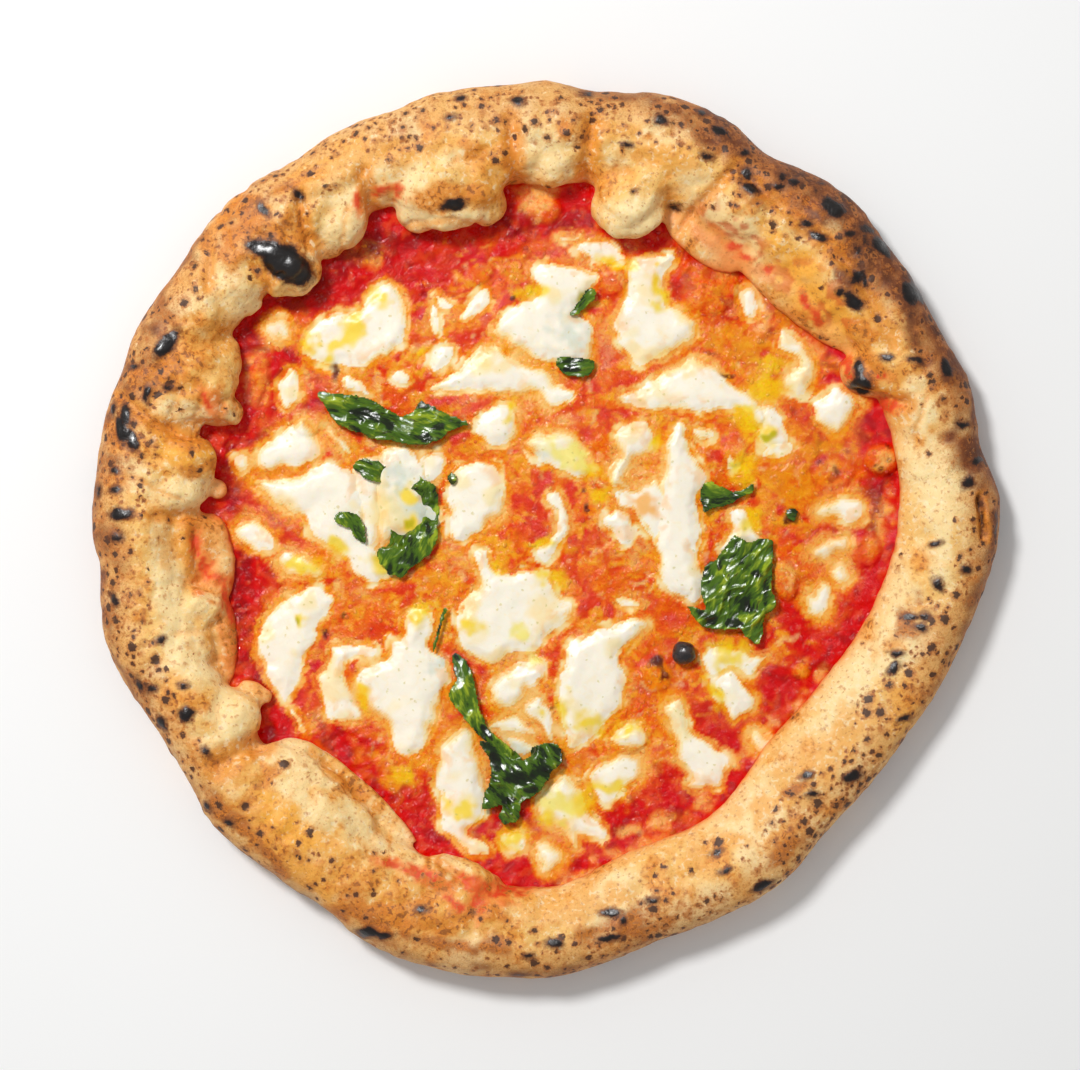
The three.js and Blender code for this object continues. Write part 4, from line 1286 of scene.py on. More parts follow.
class Tone(Enum):
    """The colours of the wet middle."""

    RED = srgb(220, 8, 0)
    DEEP_RED_AND_SHADOW = srgb(158, 6, 1)
    VERMILION = srgb(233, 64, 6)
    ORANGE = srgb(245, 114, 2)
    AMBER = srgb(240, 150, 16)
    YELLOW = srgb(250, 208, 10)
    LEMON = srgb(246, 230, 124)
    OLIVE = srgb(190, 176, 20)
    HONEY = srgb(251, 172, 30)
    PEACH = srgb(249, 184, 98)
    PINK = srgb(236, 122, 86)
    CREAM = srgb(253, 222, 146)
    DARK = srgb(84, 18, 6)
    GOLDEN = srgb(249, 180, 20)
    BUTTER = srgb(248, 217, 56)
    BITS = srgb(240, 92, 44)
    CURD = srgb(250, 222, 130)
    FILM = srgb(198, 210, 196)
    MILK = srgb(254, 245, 226)


@dataclass
class Surface:
    """The height of the wet middle and the colours on it."""

    level: float = 5.7
    # It rises towards the rim, from one radius to another.
    rim_start: float = 100
    rim_end: float = 132
    rim_rise: float = 2.6
    # Radii between which the reds of the middle turn into deeper ones.
    heart: tuple[float, float] = (94, 74)
    outlines: Sequence[Points] = ()

    # Ovals of each tone under the cheese: x, y, half length, half width and bearing.
    on_sauce: tuple[tuple[Tone, Ovals], ...] = (
        (Tone.ORANGE, (
            (-82, -10, 8, 4), (-68, -37, 7, 4, 20), (-40, -18, 12, 6), (-20, 27, 7, 5), (-11, 18, 5, 8),
            (12, 8, 5, 6), (18, 30, 5, 8), (12, -12, 6, 5), (38, -55, 9, 11), (10, -83, 8, 6),
            (-54, -87, 13, 9), (86, 40, 12, 26, -25), (92, 14, 18, 16), (56, 84, 13, 12, -40),
            (64, -25, 8, 20, 20), (-44, 68, 5, 9), (50, 99, 8, 4, -35), (-86, -2, 9, 5),
            (-18, -80, 8, 12), (84, -14, 10, 10), (30, 8, 8, 6), (-88, 70, 6, 9), (-58, 50, 9, 5),
            (-32, 42, 9, 5), (-80, 32, 8, 7), (-62, -30, 8, 6), (62, 64, 14, 8), (22, 55, 8, 6),
            (26, -18, 14, 7), (22, -84, 14, 10), (112, 22, 6, 10), (44, -34, 10, 6), (-92, -24, 6, 4),
            (72, 72, 9, 12), (-40, 94, 8, 3), (-2, 100, 9, 3), (-6, -108, 8, 5),
        )),
        (Tone.RED, (
            (-8, 0, 3, 6), (8, -5, 3, 6), (12, 33, 5, 3), (-5, 20, 3, 3), (58, 27, 4, 6, -30),
            (24, -12, 4, 4), (13, -28, 6, 2.5, 30), (3, -48, 1.8, 12, 8), (-18, -66, 8, 2.4, -40),
            (45, -32, 5, 4), (-57, -35, 6, 5), (-84, -58, 4, 8, 15), (-70, -74, 12, 3.4, -15),
            (64, -78, 12, 5, -50), (56, -68, 5, 10, 30), (-40, 78, 4, 14), (-96, -20, 5, 4),
            (30, -102, 10, 6), (44, -94, 8, 8), (-45, -103, 4, 7), (-15, -120, 12, 3.4, 5),
            (88, -38, 24, 11, 55), (92, -60, 12, 5, 50), (60, -92, 12, 4, 40), (-62, 94, 16, 6, 30),
            (-10, 112, 12, 6), (-22, 70, 2, 8), (-104, 62, 8, 5), (74, 26, 3, 2), (-102, -14, 6, 8),
            (-35, 92, 16, 9, 10), (-45, 78, 6, 10), (-30, 104, 10, 4), (22, -60, 3, 3),
            (-44, 88, 8, 6, 20), (-38, -64, 3, 8, 10), (36, -24, 7, 4, -20), (66, -66, 6, 6),
        )),
        (Tone.AMBER, (
            (88, 18, 17, 15), (96, 30, 14, 8), (76, 50, 11, 10), (78, 62, 9, 9), (92, 10, 14, 8),
            (70, 66, 12, 6, -20), (100, 28, 8, 8), (22, -88, 10, 6), (4, -6, 5, 3), (-14, 40, 3, 6),
            (-40, 60, 3, 6), (-82, 60, 6, 4), (48, 28, 3, 5), (62, 66, 9, 4), (40, -56, 8, 7),
            (-88, -12, 8, 3.4), (12, -84, 7, 4), (-66, -26, 7, 4), (-40, -18, 9, 3),
            (82, 76, 12, 4, -45), (98, 62, 10, 4, -45), (-52, -90, 7, 5), (26, -84, 9, 7),
            (-13, 16, 3, 7), (74, 40, 8, 8), (70, 0, 5, 12, 10), (-28, 28, 5, 3),
        )),
        (Tone.PEACH, (
            (68, 27, 4, 5, 30), (62, 90, 4, 5, -30), (40, 14, 4, 4), (-96, 68, 5, 6), (-62, 98, 6, 4),
            (90, -62, 5, 3, 40), (90, -50, 3, 3), (84, -18, 4, 7, 10), (-64, -25, 4, 3),
            (-14, -70, 8, 4, 20), (104, 12, 8, 6), (-86, 52, 2, 6), (-102, 52, 4, 9, -10),
            (-48, 27, 11, 3.4), (-34, 8, 1.6, 16), (30, -4, 5, 4), (76, 80, 6, 9, -20), (52, 82, 4, 4),
            (60, 84, 3, 3), (30, -76, 9, 4), (24, -88, 12, 8), (40, -104, 5, 3), (30, -108, 4, 2),
            (73, -72, 5, 4, 40), (-22, -72, 4, 3), (-80, -68, 6, 4), (118, 2, 4, 10), (-74, 32, 5, 5),
            (6, 38, 6, 3), (-38, 70, 3, 8), (22, 66, 5, 8), (66, 78, 3, 5), (-4, 116, 6, 6),
            (80, -70, 6, 2.6, 45), (70, -80, 5, 2, 45), (98, -52, 2, 4, -20), (54, -98, 6, 2, 35),
            (76, 82, 3, 6, -45), (96, 62, 6, 2.4, -45), (32, -5, 7, 9), (22, 8, 5, 4), (-28, -12, 8, 3),
            (30, -114, 12, 2.4, 20), (8, -124, 10, 2.4, 10),
        )),
        (Tone.PINK, (
            (23, 89, 6, 5, 40), (-100, 5, 8, 5), (22, 62, 4, 8), (-24, 76, 5, 5, 30),
            (26, 24, 5, 3, 20), (-58, -62, 4, 3), (-98, -40, 3, 8), (16, 100, 12, 4), (100, -18, 6, 9),
            (-10, -71, 8, 3), (58, 32, 4, 3),
        )),
        # Deep red, mostly painted shadow of the rim's lobes on the sauce along the rim's foot.
        (Tone.DEEP_RED_AND_SHADOW, (
            (-105, 68, 6, 5), (-84, 84, 28, 5, 38), (-110, -20, 4, 22), (-102, -55, 4, 14, 20),
            (116, 10, 3, 12), (8, 108, 10, 3), (56, 92, 14, 2.6, -55), (-112, 20, 3, 20),
            (-12, 108, 14, 5), (-50, 100, 12, 4, 10), (-38, 82, 6, 2),
        )),
    )
    # Cheese so thin that a leaf or the sauce shows through.
    on_cheese: tuple[tuple[Tone, Ovals], ...] = (
        (Tone.FILM, (
            (-54, 18.5, 10, 5, -15), (-50, 4, 8, 12), (-42, 5, 5, 6), (-50, 14, 6, 3),
            (-38, -46, 3.6, 7, -20), (9, 68, 7, 9), (-36, -36, 2, 7, -10), (-9, -79, 8, 5, -20),
            (-2, 24, 4, 3),
        )),
        (Tone.CREAM, (
            (-84, 65, 6, 5, 30), (-22, 60, 10, 4, 20), (34, 62, 10, 5), (50, 58, 12, 4),
            (-60, 10, 4, 10), (-76, -55, 5, 9, 20), (-28, -114, 8, 3), (8, -106, 6, 5), (-12, 58, 8, 3),
            (88, 50, 4, 8), (-42, 50, 8, 2), (0, -30, 8, 10), (-20, -46, 10, 3), (28, 34, 6, 4),
            (36, 86, 6, 6),
        )),
        (Tone.PEACH, (
            (-26, 63, 6, 2), (-97, 44, 2.4, 5), (66, 56, 6, 2, 20), (-68, -60, 3, 5), (50, -92, 5, 1.6),
            (-30, -108, 4, 3),
        )),
    )
    # Pools of oil on the sauce and the cheese alike.
    on_all: tuple[tuple[Tone, Ovals], ...] = (
        (Tone.YELLOW, (
            (-73, 67, 14, 4.6, 35), (-60, 81, 5, 5), (-5, 84, 8, 3.4, 10), (25, 94, 7, 2.4, -15),
            (40, 84, 3, 7, 10), (-87, -13, 9, 3.4), (-73, -7, 4, 4), (-58, -14, 5, 4), (-87, -33, 3, 3),
            (-45, -31, 5, 5), (-28, -33, 4, 3), (-49, 2, 3, 3), (14, 20, 5, 4.4), (19, 12, 4, 3.8),
            (38, 30, 3, 5), (2, -18, 5, 4), (72, 36, 12, 5, -50), (70, 20, 4, 8), (77, 50, 7, 6),
            (72, 2, 4, 7), (64, -45, 9, 5, -20), (60, -60, 2, 8, 30), (-66, -60, 2.2, 8, 20),
            (-31, -101, 6, 5), (-13, -110, 6, 5), (15, -70, 8, 4, -20), (22, -92, 8, 3),
            (11, -97, 6, 4), (0, -103, 6, 2.4), (6, -64, 2.4, 8, 10), (-51, -88, 4, 4),
            (-85, 66, 6, 2.4, 30), (-3, -6, 6, 2), (-18, -14, 4, 3), (28, -72, 5, 3), (-2, -66, 3, 4),
            (-48, 13, 3, 4), (-45, 62, 2, 3), (80, 58, 5, 5), (-14, 40, 2, 5),
        )),
        (Tone.OLIVE, ((12, 80, 3, 3), (78, 31, 2.4, 1.4), (-50, 2, 2, 1.6), (-88, -33, 1.6, 1.6))),
        (Tone.LEMON, ((7, 26, 9, 5, -35), (-9, -38, 3, 5), (-4, -46, 3, 4), (2, -98, 7, 5))),
        (Tone.PEACH, ((-3, 115, 5, 6), (34, 8, 6, 5), (33, 20, 4, 2.4, 30), (118.5, 24, 3.4, 3.4),
                      (100, 21, 4, 3), (84.5, -19, 2, 4.6, 10))),
        (Tone.DARK, (
            (96, 24, 2.4, 1.4, 30), (104, 20, 2.4, 1.8), (41, -52, 4, 1.1, -50), (38, -49, 2.4, 1.7),
            (64, 54, 1.6, 1), (57, 62, 3, 1, -20), (12, 14, 1, 1), (14, 7, 0.8, 2), (-72, -32, 1, 1.6),
            (-79, -39, 1, 2), (86, 5, 2.4, 2.6), (-76, 54, 2, 3), (3, -65, 1.6, 1.4), (-12, 80, 2, 0.7),
            (117, 26, 0.9, 0.7), (120, 24, 0.8, 0.8), (116, 22, 0.7, 0.6), (120.5, 28, 0.8, 0.6),
            (118, 20, 0.6, 0.6),
        )),
    )

    # Bubbles under a skin of sauce: x, y, half length, half width, bearing and rise.
    bubbles: Ovals = (
        (57, 86, 12, 11, -40, 2), (118.5, 24, 6.6, 6.4, 0, 3.4), (113, -8, 6.4, 6.6, 0, 1.8),
        (84.5, -19, 4.4, 8, 10, 1.8), (102, 20, 8, 6.5, 0, 0.9), (90, -51, 4, 3.4, 0, 1.2),
        (-24, 90, 6, 4, 30, 1.2), (23, 87, 6, 5, 40, 1), (30, -76, 7, 4.6, 20, 1.2),
        (0, 112, 6, 5, 0, 1.8), (-102, 53, 3.4, 9, -8, 1.2), (38, -52, 7, 7, 0, 1),
        (66, 27, 5, 6, 0, 1), (-85, 36, 5, 4, 0, 0.9),
    )

    def height(self, flat: Points) -> np.ndarray:
        """Height in mm of the wet surface, without its finest grain."""
        rise = self.rim_rise * smooth(self.rim_start, self.rim_end, away(flat))
        for spot in self.bubbles:
            near = away(flat, *spot[:2]) < 1.2 * max(spot[2:4])
            inside = np.clip(oval(flat[near], spot[:5]), 0, 1)
            rise[near] += spot[5] * np.sqrt(inside * (2 - inside)) * smooth(0, 0.15, inside)
        return self.level + rise + 0.55 * noise(flat, 26, 31) + 0.35 * noise(flat, 9, 32)

    @staticmethod
    def bent(flat: Points, far: float, size: float, seed: int) -> Points:
        """Places moved about `far` mm, so that outlines wander."""
        push = pushed(flat, size, seed, seed + 2)
        return flat + far * (push + 0.5 * pushed(flat, size * 0.42, seed + 1, seed + 3))

    def torn(self, flat: Points) -> Points:
        """Places moved so that the outlines of the cheese are a little torn."""
        return self.bent(flat, 0.9, 5, 71)

    def cheese_depth(self, flat: Points, reach: float = 6) -> np.ndarray:
        """Depth inside the nearest piece of cheese, at least minus `reach`."""
        moved = self.torn(flat)
        depth = np.full(len(flat), -reach)
        for outline in self.outlines:
            low, high = outline.min(axis=0) - reach, outline.max(axis=0) + reach
            near = np.all((moved > low) & (moved < high), axis=1)
            if near.any():
                depth[near] = np.maximum(depth[near], depth_inside(moved[near], outline))
        return depth

    def laid(self, flat: Points, base: np.ndarray, layers: Sequence, oil: np.ndarray,
             strength: float | np.ndarray) -> tuple[np.ndarray, np.ndarray]:
        """Lays ovals of tones over colours.

        Args:
            flat: Places seen from above.
            base: The colour at each place.
            layers: Tones with their ovals.
            oil: How oily each place is.
            strength: How strong the tones are, from 0 to 1, for all or for each place.

        Returns:
            The new colours and how oily each place is now.
        """
        moved = self.bent(flat, 1.7, 7, 41)
        wander = 0.75 * noise(flat, 3.8, 42) + 0.5 * noise(flat, 1.9, 43)
        strength = np.broadcast_to(strength, len(flat))
        for tone, ovals in layers:
            for spot in ovals:
                near = away(flat, *spot[:2]) < 2 * max(spot[2:4]) + 4
                if not near.any():
                    continue
                ragged = oval(moved[near], spot) + 0.6 * wander[near]
                share = smooth(-0.3, 0.75, ragged) * strength[near]
                if layers is self.on_sauce and tone is Tone.PEACH:
                    wide = smooth(-0.6, 0.2, ragged)
                    base[near] = blend(base[near], (Tone.ORANGE, 0.7 * wide * strength[near]))
                colour = np.tile(tone.value, (len(share), 1))
                if tone is Tone.RED:
                    central = smooth(*self.heart, away(flat[near]))
                    colour = blend(colour, (Tone.VERMILION, 0.8 * central))
                elif tone is Tone.YELLOW:
                    milky = smooth(0.15, 0.6, base[near][:, 2])
                    golden = 0.6 * smooth(-0.3, 0.5, wander[near]) * (1 - milky)
                    colour = blend(colour, (Tone.GOLDEN, golden), (Tone.BUTTER, 0.85 * milky))
                base[near] = blend(base[near], (colour, share))
                if tone in (Tone.YELLOW, Tone.AMBER, Tone.OLIVE):
                    oil[near] = np.maximum(oil[near], share)
        return base, oil

    def dress(self, piece: bpy.types.Object) -> None:
        """Keeps what the finish of the wet middle reads at a piece's corners."""
        flat = corners_of(piece.data)[:, :2]
        tone, oil, milk = self.painted(flat)
        red = smooth(0.45, 0.1, tone[:, 1] / np.maximum(tone[:, 0], 1e-6) * 2)
        store(piece, {"tone": opaque(tone), "oil": oil, "glow": 1 - red, "milk": milk})

    def painted(self, flat: Points) -> tuple[np.ndarray, np.ndarray, np.ndarray]:
        """The colour of the wet middle, how oily and how milky it is at each place."""
        radius = away(flat)
        moved = self.bent(flat, 2.4, 9, 61)
        wisp, pulp = rough(moved, 10, 3, 65), rough(moved, 4.4, 2, 66)
        outward = smooth(84, 108, radius + 10 * noise(flat, 14, 67))
        inward = 1 - outward
        # Crushed tomato in oil, redder outward.
        red = np.tile(Tone.RED.value, (len(flat), 1))
        red = blend(red, (Tone.VERMILION, 0.75 * smooth(*self.heart, radius)))
        base = blend(
            np.tile(Tone.ORANGE.value, (len(flat), 1)),
            (Tone.HONEY, 0.9 * smooth(-0.05, 0.75, wisp)),
            (Tone.VERMILION, 0.9 * smooth(-0.25, 0.4, pulp - 0.4 * wisp)),
            (red, smooth(0.22, 0.6, pulp - 0.3 * wisp)),
            (Tone.RED, outward * (1 - 0.2 * smooth(0.4, 1, wisp))),
        )
        base, oil = self.laid(flat, base, self.on_sauce, np.zeros(len(flat)), 0.85)
        # Skins over the bubbles, each with a red ring round it.
        for spot in self.bubbles:
            skin = oval(flat, spot[:5]) + 0.15 * wisp
            ring = smooth(0.22, 0.04, np.abs(skin - 0.04)) * (skin > -0.2)
            base = blend(
                base, (Tone.ORANGE, 0.6 * smooth(-0.05, 0.4, skin)),
                (Tone.HONEY, 0.5 * smooth(0.1, 0.6, skin) * smooth(-0.3, 0.5, pulp)),
                (Tone.RED, 0.5 * ring),
            )
        # Specks, streaks and veins of tomato and oil, then the melted cheese and its fringe.
        speckle = noise(moved, 2.6, 76)
        streak = noise(moved @ np.array([[0.5, 0.3], [-0.3, 1.1]]), 2.4, 77)
        bits = smooth(0.35, 0.7, noise(moved, 2.1, 81) + 0.4 * noise(flat, 12, 82))
        vein = smooth(0.13, 0.03, np.abs(noise(moved, 6.5, 79) + 0.3 * speckle))
        depth = self.cheese_depth(flat)
        fringe = depth + 0.9 * noise(flat, 4.2, 69) + 0.28 * noise(flat, 1.9, 70)
        fringe /= 0.8 + 1.3 * smooth(-0.1, 0.8, noise(flat, 15, 71))
        creamy, milky = smooth(-0.3, 0.9, fringe), smooth(0.3, 1.9, fringe)
        pinkish = smooth(0.1, 0.7, noise(flat, 12, 72)) * smooth(-1.6, -0.4, fringe)
        base = blend(
            base, (red, 0.5 * smooth(0.45, 0.95, pulp + 0.3 * speckle)),
            (Tone.HONEY, 0.75 * smooth(0.25, 0.65, streak + 0.4 * wisp) * inward),
            (Tone.CREAM, 0.4 * smooth(0.55, 0.85, speckle + 0.3 * wisp) * inward),
            (Tone.DEEP_RED_AND_SHADOW, 0.6 * smooth(0.2, 0.8, noise(moved, 3.4, 68)) * outward),
            (Tone.BITS, 0.45 * bits * outward),
            (Tone.VERMILION, 0.5 * vein * inward),
            (red, 0.5 * vein * smooth(0, 0.5, noise(flat, 11, 80))),
            (Tone.ORANGE, 0.6 * smooth(-2.0, -0.7, fringe)),
            (Tone.HONEY, 0.8 * smooth(-1.2, 0.1, fringe)),
            (Tone.CREAM, creamy), (Tone.MILK, milky), (Tone.PEACH, 0.5 * pinkish * (1 - milky)),
        )
        base, oil = self.laid(flat, base, self.on_cheese, oil, 0.6 * smooth(-0.5, 1, depth))
        # Yellower and thinner places in the cheese, and the oil over everything.
        thin = smooth(0.35, 0.8, rough(moved, 6, 3, 78)) * smooth(7, 2, depth)
        base = blend(
            base, (Tone.CURD, 0.5 * smooth(0.35, 1.1, rough(flat, 9, 2, 75)) * milky),
            (Tone.HONEY, 0.4 * thin * milky),
        )
        return *self.laid(flat, base, self.on_all, oil, 0.92), np.maximum(creamy, milky)


@dataclass(frozen=True)
class Pulp:
    """Soft grains of tomato that stand out of the sauce."""

    share: float = 60000
    smallest: float = 0.3
    largest: float = 0.9
    flatness: float = 0.3
    # None lie where the surface's upward part is less than this.
    steepest: float = 0.3
    seed: int = 23

    def build(self, sauce: bpy.types.Object) -> None:
        """Scatters the grains over the sauce, dressed like it, and hands them over."""
        kinds = dict.fromkeys(("Per square metre", "Smallest", "Largest"), "NodeSocketFloat")
        g = Growth("pulp", kinds | {"Seed": "NodeSocketInt"})

        def varied(kind: str, low: object, high: object, first: int, output: int,
                   seed: object) -> Wire:
            """A number or vector between two for each grain; `first` is the lower one's socket."""
            inputs = {first: low, first + 1: high, "Seed": seed}
            return g.add("FunctionNodeRandomValue", {"data_type": kind}, inputs, output)

        facing = g.add("GeometryNodeInputNormal", {}, {})
        up = g.add("ShaderNodeSeparateXYZ", {}, {0: facing}, "Z")
        upward = g.add("ShaderNodeMath", {"operation": "GREATER_THAN"}, {0: up, 1: self.steepest})
        milk, glow = (
            g.add("GeometryNodeInputNamedAttribute", {"data_type": "FLOAT"}, {"Name": label})
            for label in ("milk", "glow")
        )
        bare = g.add("ShaderNodeMath", {"operation": "LESS_THAN"}, {0: milk + glow * 0.4, 1: 0.5})
        chosen = g.add("FunctionNodeBooleanMath", {"operation": "AND"}, {0: upward, 1: bare})
        scattered = g.add("GeometryNodeDistributePointsOnFaces", {}, {
            "Mesh": g.given("Geometry"), "Selection": chosen,
            "Density": g.given("Per square metre"), "Seed": g.given("Seed"),
        })
        size = varied("FLOAT", g.given("Smallest"), g.given("Largest"), 2, 1, g.given("Seed"))
        flat = self.flatness
        shape = varied("FLOAT_VECTOR", (0.7, 0.7, flat), (1.5, 1.1, flat), 0, 0, 3)
        scale = g.add("ShaderNodeVectorMath", {"operation": "MULTIPLY"}, {0: shape, 1: size})
        turn = varied("FLOAT_VECTOR", (0.0, 0.0, 0.0), (0.0, 0.0, math.tau), 0, 0, 5)
        ball = g.add("GeometryNodeMeshIcoSphere", {}, {"Radius": 1.0, "Subdivisions": 2})
        grains = g.add("GeometryNodeInstanceOnPoints", {}, {
            "Points": scattered, "Instance": ball, "Rotation": turn, "Scale": scale,
        })
        whole = g.add("GeometryNodeRealizeInstances", {}, {"Geometry": grains})
        whole = g.add("GeometryNodeSetShadeSmooth", {}, {"Geometry": whole})
        material = WetFinish("pulp", coat=1.0).material()
        dressed = g.add("GeometryNodeSetMaterial", {}, {"Geometry": whole, "Material": material})
        values = {"Per square metre": self.share * 1.0, "Seed": self.seed,
                  "Smallest": self.smallest * MM, "Largest": self.largest * MM}
        hand_over(g.grown(sauce, "tomato_pulp", values, dressed), material)


@dataclass
class Sauce:
    """The layer of crushed tomato and oil, which runs in under the rim."""

    surface: Surface
    dough: Dough
    pitch: float = 0.76
    reach: float = 6
    under: float = 4.15

    def build(self) -> None:
        """Makes the layer and hands it over."""
        pitch = self.pitch * 1
        half = max(self.dough.inner) + self.reach + pitch
        flat, shape = grid((-half, -half), (half, half), pitch)
        radius = away(flat)
        inside = radius < self.dough.rim(bearing_of(flat))[1] + self.reach
        oil, depth = self.surface.painted(flat)[1], self.surface.cheese_depth(flat)
        coarse = 0.4 + 0.6 * smooth(84, 104, radius + 12 * noise(flat, 18, 50))
        grain = 0.3 * noise(flat, 3.4, 51) + 0.3 * noise(flat, 1.9, 52) * coarse
        grain += 0.5 * smooth(0.2, 0.8, noise(flat, 5.5, 53)) * noise(flat, 2.4, 54) * coarse
        bare = 1 - smooth(-3.4, -1.2, depth)
        top = self.surface.height(flat) + (grain * (1 - 0.8 * oil) + 0.25 * oil) * bare
        top -= 0.5 * smooth(0.3, 1.6, depth)
        under = np.full(len(flat), self.under)
        piece = slab("tomato_sauce", flat, shape, inside, top, under, fan=True)
        self.surface.dress(piece)
        Pulp().build(piece)
        hand_over(piece, WetFinish("sauce").material(), ["tomato_sauce"])


# ---- Mozzarella ----


@dataclass(frozen=True)
class Patch:
    """One torn piece of cheese as it melted: how far it stands up and its corners."""

    rise: float
    corners: tuple[tuple[float, float], ...]


